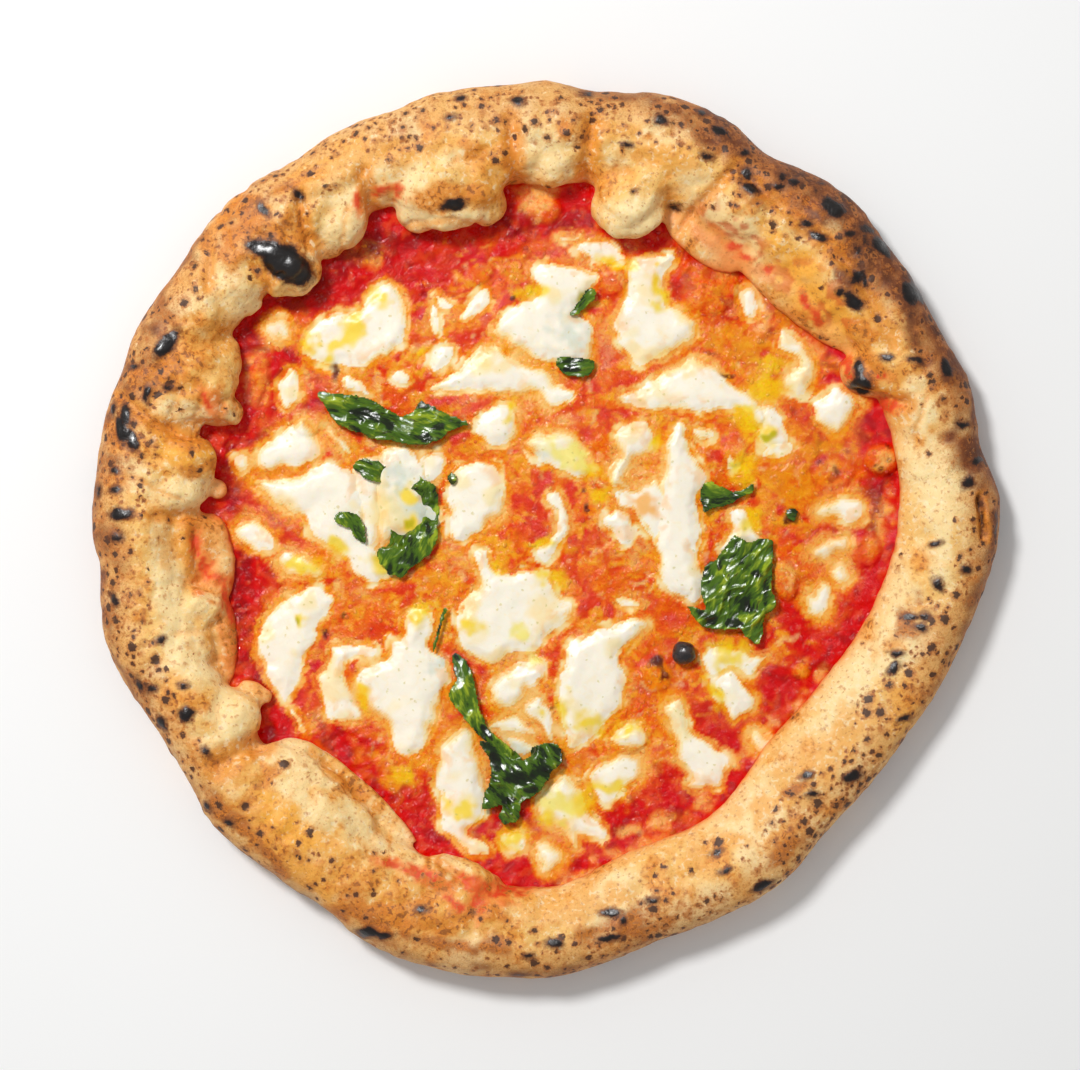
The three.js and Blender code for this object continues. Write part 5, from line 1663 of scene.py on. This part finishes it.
@dataclass
class Mozzarella:
    """All the melted cheese; each large piece stands for the CAD node of its number."""

    surface: Surface
    pitch: float = 0.55
    shoulder: float = 5.4
    melt: float = 0.42
    skirt: float = 1.0
    sink: float = 1.3
    lowest: float = 4.2
    margin: float = 2.5

    patches: tuple[Patch, ...] = (
        Patch(2.6, ((-88, 63), (-81, 57.5), (-66, 56.5), (-60, 59), (-53, 63), (-48.5, 72),
                    (-52, 84), (-56, 88), (-63, 84), (-68, 76.5), (-80, 75))),
        Patch(2.4, ((-92, 41.5), (-96.5, 46), (-94, 55), (-90, 57), (-87.5, 52), (-88, 45))),
        Patch(3, ((-103, 28), (-94, 35), (-87, 40), (-83, 36), (-80, 28), (-84, 22.5),
                  (-92, 20.5), (-102, 20))),
        Patch(3.2, ((-104, 17), (-88, 19.5), (-76, 23.5), (-68, 19), (-64.5, 8), (-62, -6),
                    (-54, -14), (-56, -19), (-67, -19), (-75, -9), (-84, -4), (-86, 3), (-92, 5),
                    (-99, 10))),
        Patch(3.4, ((-61, 25), (-52, 29), (-44, 23), (-41, 12), (-42, 2), (-47, -5), (-54, -4),
                    (-60, -8), (-61, 0), (-63, 12))),
        Patch(2.4, ((-112, -2), (-109, 3), (-104, 3.5), (-97, -3), (-98, -9), (-106, -7))),
        Patch(1.6, ((-96, -11), (-92, -8), (-80, -14), (-80, -18), (-90, -17.5), (-95, -15))),
        Patch(3.2, ((-100, -31), (-92, -24), (-82, -20.5), (-75, -24), (-74.5, -28), (-80, -34),
                    (-82, -41), (-85, -48), (-90, -59), (-93, -63), (-98, -56), (-103, -46),
                    (-104, -39))),
        Patch(2.2, ((-76, -41), (-68, -41), (-60, -42), (-60, -46), (-69, -47), (-70, -54),
                    (-66, -63), (-66, -68), (-77, -69), (-80, -60), (-83, -53), (-79, -50))),
        Patch(3.4, ((-51, -31), (-44, -28), (-40, -32), (-41, -42), (-35, -48), (-36, -58),
                    (-39, -66), (-43, -78), (-50, -83), (-55, -80), (-57, -72), (-63, -66),
                    (-68, -56), (-66, -49), (-57, -47), (-56, -40), (-52, -38))),
        Patch(3, ((-33, -71), (-27, -73), (-23, -86), (-20.5, -96), (-23, -103), (-27, -108),
                  (-21, -112), (-20, -116), (-27, -116), (-33, -111), (-38, -107), (-38, -97),
                  (-41, -88), (-38, -78))),
        Patch(3.4, ((8, -40), (18, -35.5), (31, -31), (36, -33), (33, -39), (27, -46), (29, -56),
                    (26, -65), (20, -71), (13, -78), (7, -78), (5, -70), (4, -60), (5, -50))),
        Patch(2.8, ((-21, -58), (-16, -51), (-8, -47), (-1, -48), (-1, -53), (-6, -59),
                    (-12, -64), (-18, -65))),
        Patch(1.8, ((-9, -63.5), (-3, -59), (1, -62), (2.5, -68), (4, -76), (0, -75), (-4, -70))),
        Patch(3, ((-4, -97), (1, -91), (7, -87), (13, -93), (15, -101), (22, -108), (19, -112),
                  (12, -109), (12, -115), (8, -114), (4, -107), (-2, -104))),
        Patch(2.6, ((-4, -113), (2, -111), (6, -115), (5, -120), (0, -123), (-4, -120))),
        Patch(2.2, ((21, -76), (28, -69), (34, -71), (35, -77), (28, -78.5))),
        Patch(2, ((14, -86), (24, -80.5), (33, -80.5), (34, -88), (27, -94), (20, -99),
                  (15, -92))),
        Patch(3, ((40, -65), (47, -60), (50, -66), (52, -73), (60, -77), (65, -82), (64, -87),
                  (60, -93), (49, -93), (51, -87), (45, -80), (44, -73))),
        Patch(3, ((59, -54), (65, -51), (70, -55), (74, -62), (70, -67), (66, -70), (63, -64),
                  (60, -59))),
        Patch(1.8, ((55, -50), (56, -43), (63, -41), (72, -45), (79, -46), (76, -50), (72, -54),
                    (66, -50.5), (60, -53))),
        Patch(2.4, ((93, -9), (99, -4), (107, -3), (107, -8), (101, -11.5), (95, -12))),
        Patch(2, ((100, -14), (105, -12), (109, -18), (105, -21.5), (101, -18))),
        Patch(2.4, ((98, -18), (102, -21), (101, -27), (97, -34), (92, -30), (91, -26),
                    (94, -22))),
        Patch(2.2, ((94, 5), (99, 9), (105, 11), (112, 9), (112, 3), (108, 0), (103, 3),
                    (97, 3))),
        Patch(2.6, ((65, 6), (71, 6), (73, 0), (78, -5), (73, -7), (66, -9), (60, -8), (64, -2))),
        Patch(3.4, ((46, 38), (50, 36), (51, 28), (57, 20), (54, 8), (56, -2), (54, -12),
                    (57, -20), (53, -27), (46, -25), (39, -17), (38, -4), (40, 14), (42, 30))),
        Patch(3, ((24, 47), (34, 50.5), (42, 56), (52, 60), (61, 57), (66, 51), (72, 47.5),
                  (76, 44), (80, 37), (74, 35), (70, 41), (60, 40), (48, 41), (38, 41),
                  (30, 43))),
        Patch(2.8, ((81, 63), (83, 70), (90, 67), (95, 60), (95, 52), (91, 46), (84, 49),
                    (84, 55), (89, 58), (86, 62))),
        Patch(2.6, ((93, 44), (99, 47), (104, 50), (111, 45), (109, 39), (104, 33), (97, 36),
                    (94, 40))),
        Patch(1.8, ((75, 26), (79, 31), (87, 31), (86, 26), (80, 24.5))),
        Patch(3.4, ((-20, 72), (-12, 79), (-4, 83), (-5, 91), (2, 94.5), (14, 93), (19, 88),
                    (15, 81), (10, 76), (17, 73), (17, 62), (14, 56), (5, 58), (-2, 59),
                    (-10, 62), (-18, 67))),
        Patch(3, ((-42, 47), (-32, 48), (-20, 48), (-11, 46), (-4, 47.5), (1, 42), (8, 45),
                  (10, 49), (3, 53), (0, 57), (-9, 60), (-18, 64.5), (-26, 63), (-31, 57),
                  (-40, 52))),
        Patch(3, ((30, 94), (37, 96), (43, 98), (46, 95), (42, 88), (43, 80), (48, 77), (53, 73),
                  (53, 68), (48, 64), (42, 60.5), (33, 56), (28, 61), (24, 68), (23, 75),
                  (28, 84))),
        Patch(1.8, ((9, 98), (14, 102), (20, 102), (27, 98), (29, 95.5), (22, 93.5), (15, 95))),
        Patch(2, ((-21, 86), (-19.5, 80), (-24, 75), (-28, 71), (-32, 73), (-30, 78),
                  (-26, 83))),
        Patch(2, ((-42, 62), (-38, 65), (-33, 65), (-32, 60), (-36, 56.5), (-41, 55))),
        Patch(2.2, ((-74, 54), (-70, 55), (-64, 51), (-60, 47), (-66, 47), (-73, 48.5))),
        Patch(3, ((-9, 31), (-4, 33.5), (3, 35), (8, 33), (11, 28), (15, 23), (16, 18), (12, 17),
                  (8, 18), (2, 21), (-4, 24), (-8, 28))),
        Patch(3.2, ((24, 34), (30, 38), (36, 37), (38, 31), (37, 27), (31, 23), (28, 18),
                    (30, 13), (23, 14), (21, 18), (24, 27))),
        Patch(3, ((-25, 38), (-19, 43.5), (-12, 43), (-10, 35), (-12, 30), (-18, 28),
                  (-25, 31.5))),
        Patch(3.4, ((-33, 21), (-27, 24), (-18, 23), (-16, 18), (-14, 13), (-15, 7), (-20, 1),
                    (-25, -3), (-31, -6.5), (-35, -4), (-34.5, 4), (-36, 12), (-35, 18))),
        Patch(2.4, ((0, 12), (4, 13), (8, 7), (8, 0), (5, -6), (3, -10), (0, -13), (-4, -9),
                    (0, -4), (2.5, 1), (3, 6), (0, 9))),
        Patch(2.8, ((19, 4), (24, 7), (30, 4), (32, -2), (30, -6), (26, -6), (21, -1))),
        Patch(3.2, ((-27, -8), (-21, -8), (-19.5, -14), (-14, -15), (-6, -14), (1, -18),
                    (4, -25), (10, -27), (8, -33), (1, -39), (-4, -45), (-14, -46), (-20, -49),
                    (-27, -46), (-32, -40), (-32, -30), (-29, -23), (-24, -20), (-26, -13))),
    )
    scraps: tuple[Patch, ...] = (
        Patch(1.6, ((-56, 54), (-53, 56.5), (-49, 55), (-48.5, 51.5), (-52, 50), (-55, 52))),
        Patch(1.6, ((-42, 79), (-39, 78), (-38, 73), (-39, 68), (-42, 70))),
        Patch(1.4, ((-39, 84), (-36, 82), (-32, 78), (-35, 76), (-39, 78))),
        Patch(1.4, ((51, 35), (57, 36.5), (60, 33), (57, 30), (53, 31.5))),
        Patch(1.2, ((64, 20), (63, 24), (65, 26.5), (67.5, 23), (66.5, 20))),
        Patch(1.2, ((4, 104), (12, 103), (10, 101), (5, 101))),
        Patch(1.2, ((-79, 37), (-75, 35), (-69, 28), (-69, 25), (-74, 27), (-79, 32))),
        Patch(1.0, ((-100, 72), (-94, 75), (-90, 72), (-90, 66), (-97, 66))),
        Patch(1.4, ((24, -26), (28, -23), (34, -26), (35, -28), (28, -29))),
        Patch(1.6, ((68, 84), (73, 85), (75, 80), (74, 74), (69, 74), (68, 78))),
        Patch(1.6, ((71, -75), (75, -72), (80, -78), (78, -80), (73, -79))),
        Patch(1.4, ((-92, -64), (-88, -65), (-85, -70), (-84, -74), (-88, -74), (-90, -69))),
        Patch(1.2, ((-21, -71), (-12, -66), (-7, -69), (-4, -74), (-10, -74), (-18, -73))),
        Patch(1.4, ((-17, -110), (-11, -107), (-6, -110), (-8, -115), (-14, -116))),
        Patch(2.6, ((-70, 21), (-62, 26), (-57, 22), (-57, 8), (-59, -6), (-65, -8), (-68, 4))),
        Patch(2, ((-46, 24), (-40, 27), (-34, 24), (-37, 18), (-44, 14))),
        Patch(0.8, ((24, 13), (32, 15), (40, 17), (43, 8), (40, -6), (35, -2), (31, 5), (24, 8))),
        Patch(2, ((74, 42), (80, 44), (86, 36), (85, 28), (78, 28), (74, 36))),
        Patch(2.2, ((-15, -74.5), (-9, -74.5), (-4, -77), (-4, -80), (-8, -82), (-13, -79))),
        Patch(1.4, ((-47, 8), (-43, 10.5), (-39, 9), (-37, 5), (-38.5, 1), (-42, 0), (-46, 3))),
        Patch(1.8, ((-112, 22.5), (-110, 26), (-107, 26), (-105, 22.5), (-107, 19.5),
                    (-110, 19.5))),
    )

    def __post_init__(self) -> None:
        """Works out every outline once."""
        everything = (*self.patches, *self.scraps)
        self.surface.outlines = [curve_through(patch.corners) for patch in everything]

    def build(self) -> None:
        """Makes every piece and hands it over."""
        material = WetFinish("cheese").material()
        outlines = iter(self.surface.outlines)
        for index, patch in enumerate(self.patches, 1):
            node = f"mozzarella_{index:02d}"
            piece = self.piece(f"{node}_melted", patch.rise, next(outlines))
            hand_over(piece, material, [node])
        for index, patch in enumerate(self.scraps, 1):
            piece = self.piece(f"mozzarella_scrap_{index:02d}", patch.rise, next(outlines))
            hand_over(piece, material)

    def piece(self, name: str, rise: float, outline: Points) -> bpy.types.Object:
        """Makes one piece of cheese.

        Args:
            name: Its name.
            rise: How far it stands up.
            outline: Its smooth outline.

        Returns:
            The piece.
        """
        pitch = self.pitch * 1
        low, high = outline.min(axis=0) - self.margin, outline.max(axis=0) + self.margin
        flat, shape = grid(low, high, pitch)
        depth = depth_inside(self.surface.torn(flat), outline)
        share = smooth(-0.1, self.shoulder, depth)
        dome = 0.8 * share + 0.2 * smooth(0, 7, depth)
        lumps = 0.3 * noise(flat, 8, 81) + 0.12 * noise(flat, 3.4, 82)
        bed = self.surface.height(flat)
        body = self.melt * rise * dome + lumps * share
        top = bed + body - 0.35 * np.clip(-depth, 0, 1) ** 2
        under = np.maximum(np.minimum(bed, top) - self.sink, self.lowest)
        piece = slab(name, flat, shape, depth > -self.skirt, top, under)
        self.surface.dress(piece)
        return piece


# ---- Basil and the charred bead ----


@dataclass(frozen=True)
class Leaf:
    """One leaf: its outline, which way its folds run in degrees, its lift and its wilt."""

    corners: tuple[tuple[float, float], ...]
    bearing: float
    lift: float
    wilt: float
    covered: Ovals = ()
    black: Ovals = ()


@dataclass
class Basil:
    """The leaves, each a thin crumpled blade that stands for the CAD node of its number."""

    surface: Surface
    pitch: float = 0.4
    thickness: float = 0.5
    bed: float = 1.5
    margin: float = 3
    # The number of the first small bit, beyond those of the leaves.
    first_bit: int = 20

    leaves: tuple[Leaf, ...] = (
        Leaf(((-81, 47), (-76, 48), (-70, 46.5), (-63, 46), (-57, 42.5), (-51, 39.5), (-47, 42),
              (-45, 45), (-41, 43), (-35, 40), (-28, 37), (-33, 34.5), (-38, 31), (-45, 29),
              (-53, 30), (-60, 30.5), (-66, 33), (-72, 35), (-77, 40)), -10, 3.4, 0.35,
             black=((-58, 37, 7, 2.4, -25), (-45, 32, 6, 1.8, 0), (-38, 36, 3, 1.5, 20),
                    (-66, 41, 4, 1.4, 0), (-68, 35, 4, 1.2, -40))),
        Leaf(((-69, 22), (-66, 24.5), (-61, 24), (-57, 21), (-50, 20), (-45, 18), (-42, 16),
              (-44, 13), (-50, 14), (-57, 15.5), (-63, 16.5), (-67, 19)), -25, 2.2, 0.1,
             covered=((-51, 17.5, 10, 5),)),
        Leaf(((-76, 3.5), (-73, 6), (-68, 5), (-65, 1), (-64, -5.5), (-67, -5), (-70, -1),
              (-74, 0.5)), -50, 2.2, 0.15),
        Leaf(((-43, 17), (-40, 15), (-38, 10), (-38.5, 2), (-38.5, -4), (-41, -9), (-46, -13),
              (-52, -18), (-58, -15), (-60, -9), (-56, -5), (-55, 4), (-52, 12), (-47, 15)), 60,
             2.2, 0.25, covered=((-51, 7, 10.5, 12), (-41.5, 5.5, 5, 4.6), (-57, -5, 3, 3)),
             black=((-42, -1, 1.6, 3, 0),)),
        Leaf(((-33.5, -45), (-31, -45), (-28, -48), (-26, -53), (-25, -59), (-24, -64),
              (-22, -69), (-19, -73), (-14, -77), (-9, -82), (-11, -84), (-17, -80), (-23, -75),
              (-28, -69.5), (-33.5, -63), (-35, -58), (-32.5, -54), (-33.5, -50)), -72, 3.4, 0.1,
             covered=((-9, -79, 3.4, 3),), black=((-21, -73, 4, 1, -50),)),
        Leaf(((-24, -76), (-20, -76.5), (-15, -79.5), (-10, -82.5), (-6, -81.5), (-6, -79), (-3, -77),
              (2, -76), (5, -79), (5, -83), (1, -88), (-2, -93), (-6, -96), (-9, -98), (-10, -103),
              (-14, -105.5), (-17, -103), (-16, -99), (-23, -100), (-22, -94),
              (-20, -87), (-21, -82)), -40, 4, 0.3, covered=((-9, -78.6, 5.4, 3),),
             black=((-10, -89, 7, 3, 20), (-19, -82, 2, 5, 15), (-14, -97, 5, 1.6, 10),
                    (-1, -86, 3, 2, 0), (-6, -93, 4, 1.4, 30))),
        Leaf(((54.5, 14), (57, 16.5), (63, 14.5), (68, 13), (73, 15.5), (73, 12), (69, 10),
              (65, 8), (60, 6.5), (56, 5.5), (54.5, 9)), -10, 2.4, 0.2),
        Leaf(((66, -3), (72, -5), (77, -4), (80.5, -6), (80, -14), (80, -22), (81.5, -27),
              (79, -30), (77, -33), (76.5, -39), (74, -41.5), (70, -39), (68, -36), (63, -36.5),
              (57, -36), (53, -33), (49.5, -28), (53, -28), (56, -29), (54.5, -22), (56, -14),
              (60, -11), (62, -8)), 55, 4.6, 0.1,
             black=((61, -13, 3.4, 1.8, 60), (74, -16, 2.4, 1.6, 0), (57, -32, 4.4, 2.4, -20),
                    (71, -28, 3.4, 1.6, -50), (77, -24, 1.4, 4, 0), (66, -34, 4, 1.4, 0))),
        Leaf(((8, 75), (10, 79), (14, 84), (17, 85), (18, 83), (15, 79), (12, 76)), 50, 2.2, 0.1),
        Leaf(((3, 58), (5, 60.5), (10, 60), (15, 60), (17, 58), (15, 54), (11, 53), (6, 54)), 10,
             2.4, 0.15, black=((9, 56, 3, 1, 0),)),
    )
    bits: tuple[Leaf, ...] = (
        Leaf(((-35.5, 17), (-34, 19.5), (-32, 18), (-32, 15.5), (-34, 15)), 30, 1.6, 0.3),
        Leaf(((-36.5, -28), (-35.5, -29), (-36.5, -33), (-38, -38), (-39.5, -44), (-41, -44),
              (-39.8, -38), (-38, -32)), 75, 1.6, 0.35),
        Leaf(((85, 3), (85, 6), (87.5, 7.5), (89, 5), (88, 2.5)), 0, 1.4, 0.5),
    )

    def build(self) -> None:
        """Makes every leaf and hands it over."""
        material = LeafFinish().material()
        for index, leaf in enumerate(self.leaves):
            node = f"basil_{index + 1:02d}"
            hand_over(self.blade(f"{node}_blade", index, leaf), material, [node])
        for index, leaf in enumerate(self.bits):
            piece = self.blade(f"basil_bit_{index + 1}", self.first_bit + index, leaf)
            hand_over(piece, material)

    def blade(self, name: str, index: int, leaf: Leaf) -> bpy.types.Object:
        """Makes one leaf.

        Args:
            name: Its name.
            index: A number of its own.
            leaf: Its sizes.

        Returns:
            The leaf.
        """
        outline = curve_through(leaf.corners)
        low, high = outline.min(axis=0) - self.margin, outline.max(axis=0) + self.margin
        flat, shape = grid(low, high, self.pitch * (1))
        depth = depth_inside(self.surface.bent(flat, 0.5, 3, 101), outline)
        shown = np.ones(len(flat))
        for cover in leaf.covered:
            ragged = oval(flat, cover) + 0.3 * noise(flat, 3, 110)
            shown = np.minimum(shown, 1 - smooth(-0.1, 0.35, ragged))
        ridge = self.ridges(flat, leaf, index)
        lift = leaf.lift * 0.3 * (1 + noise(flat, 9, 105)) + 0.6 * smooth(0, 4, depth)
        top = self.surface.height(flat) + 0.2 + shown * (self.bed + lift + ridge * leaf.lift * 0.3)
        piece = slab(name, flat, shape, depth > 0, top, top - self.thickness)
        corners = corners_of(piece.data)[:, :2]
        wilt = leaf.wilt + 0.4 * noise(corners, 6, 106)
        ragged = 0.5 * noise(corners, 2.6, 108)
        for spot in leaf.black:
            wilt = np.maximum(wilt, smooth(-0.5, 0.7, oval(corners, spot) + ragged))
        run = turned(corners, leaf.bearing) + 0.9 * pushed(corners, 5, 107, 109)
        run = np.column_stack([run * (0.3, 1), np.full(len(run), 7.0 * index)])
        # The ridge height, which the finish turns into painted highlight on the ridges and painted
        # shade in the folds.
        ridge = self.ridges(corners, leaf, index) * 0.5 + 0.5
        store(piece, {"run": run * MM, "ridge": ridge, "wilt": wilt})
        return piece

    @staticmethod
    def ridges(flat: Points, leaf: Leaf, seed: int) -> np.ndarray:
        """Sharp crumpled ridges from -1 to 1, drawn out along the leaf's folds."""
        along, across = turned(flat, leaf.bearing).T
        across = across + 1.6 * noise(flat, 7, 121 + seed)
        folded = np.stack([along * 0.5 + across * 0.12, across], axis=1)
        coarse = 1 - 2 * np.abs(noise(folded, 6, 111 + seed))
        fine = 1 - 2 * np.abs(noise(folded, 2.6, 131 + seed))
        return 0.65 * coarse + 0.35 * fine


@dataclass
class Bead:
    """A burst bubble of sauce that charred into a small black ball."""

    surface: Surface
    x: float = 48.4
    y: float = -44.6
    radius: float = 4.2
    shown: float = 0.72

    def build(self) -> None:
        """Makes it and hands it over."""
        unit, faces = unit_ball()
        swell = 1 + 0.07 * noise(unit, 0.7, 141) + 0.03 * noise(unit, 0.25, 142)
        low = float(self.surface.height(np.array([[self.x, self.y]]))[0])
        centre = np.array([self.x, self.y, low + self.shown * self.radius])
        piece = mesh_object("bead", unit * self.radius * swell[:, None] + centre, faces)
        finish = PlainFinish("char", srgb(38, 34, 36), srgb(62, 52, 50), 2.2, 0.28, 0.2)
        hand_over(piece, finish.material(), ["charred_bead"])


# ---- Studio ----


@dataclass
class Studio:
    """The pale floor, the soft lights and the camera straight above."""

    view_width: float = 381.9
    aim: tuple[float, float] = (-2.5, -2.8)
    sensor: float = 36
    key_power: float = 16.2
    key_size: float = 0.3
    key_place: tuple[float, float, float] = (-0.6, 0.65, 1.25)
    glint_power: float = 16.0
    glint_size: float = 0.1
    glint_place: tuple[float, float, float] = (-0.35, 0.75, 1.25)
    fill: float = 0.42
    floor_half: float = 3000
    floor_gap: float = 0.2

    def build(self) -> None:
        """Sets everything round the pizza."""
        self.floor()
        self.lights()
        self.camera()
        bpy.context.scene.view_settings.view_transform = "Standard"

    def floor(self) -> None:
        """A wide pale floor just under the pizza."""
        corners = ((-1, -1), (1, -1), (1, 1), (-1, 1))
        points = np.array([
            [x * self.floor_half, y * self.floor_half, -self.floor_gap] for x, y in corners
        ])
        piece = mesh_object("floor", points, np.array([[0, 1, 2, 3]]))
        white = PlainFinish("floor", srgb(247, 247, 246), srgb(249, 249, 248), 400, 0.8, 0.0)
        piece.data.materials.append(white.material())

    def lights(self) -> None:
        """A soft key from the upper left, a small lamp for glints and an even white surround."""
        self.lamp("key", self.key_power, self.key_size, self.key_place)
        glint = self.lamp("glint", self.glint_power, self.glint_size, self.glint_place)
        glint.visible_diffuse = False
        world = bpy.data.worlds.new("surround")
        world.use_nodes = True
        sky = world.node_tree.nodes["Background"]
        sky.inputs["Color"].default_value = (1, 1, 1, 1)
        sky.inputs["Strength"].default_value = self.fill
        bpy.context.scene.world = world

    @staticmethod
    def lamp(name: str, power: float, size: float,
             place: tuple[float, float, float]) -> bpy.types.Object:
        """A round lamp at a place in metres that shines on the middle of the pizza."""
        lamp = bpy.data.lights.new(name, "AREA")
        lamp.shape, lamp.size, lamp.energy = "DISK", size, power
        stand = bpy.data.objects.new(name, lamp)
        stand.location = place
        stand.rotation_mode = "QUATERNION"
        stand.rotation_quaternion = Vector(place).to_track_quat("Z", "Y")
        bpy.context.scene.collection.objects.link(stand)
        return stand

    def camera(self) -> None:
        """A long lens looking straight down, framed on the rim's widest height."""
        lens = bpy.data.cameras.new("camera")
        lens.sensor_width = self.sensor
        lens.lens = self.sensor * (EYE - PLANE) / self.view_width
        lens.clip_start, lens.clip_end = 0.05, 50
        camera = bpy.data.objects.new("camera", lens)
        camera.location = (self.aim[0] * MM, self.aim[1] * MM, EYE * MM)
        bpy.context.scene.collection.objects.link(camera)
        bpy.context.scene.camera = camera


def main() -> None:
    """Builds the pizza from the dough up."""
    logging.basicConfig(level=logging.INFO, format="%(name)s %(message)s")
    surface, dough = Surface(), Dough()
    cheese = Mozzarella(surface)
    dough.build()
    Sauce(surface, dough).build()
    cheese.build()
    Basil(surface).build()
    Bead(surface).build()
    Studio().build()


if __name__ == "__main__":
    main()
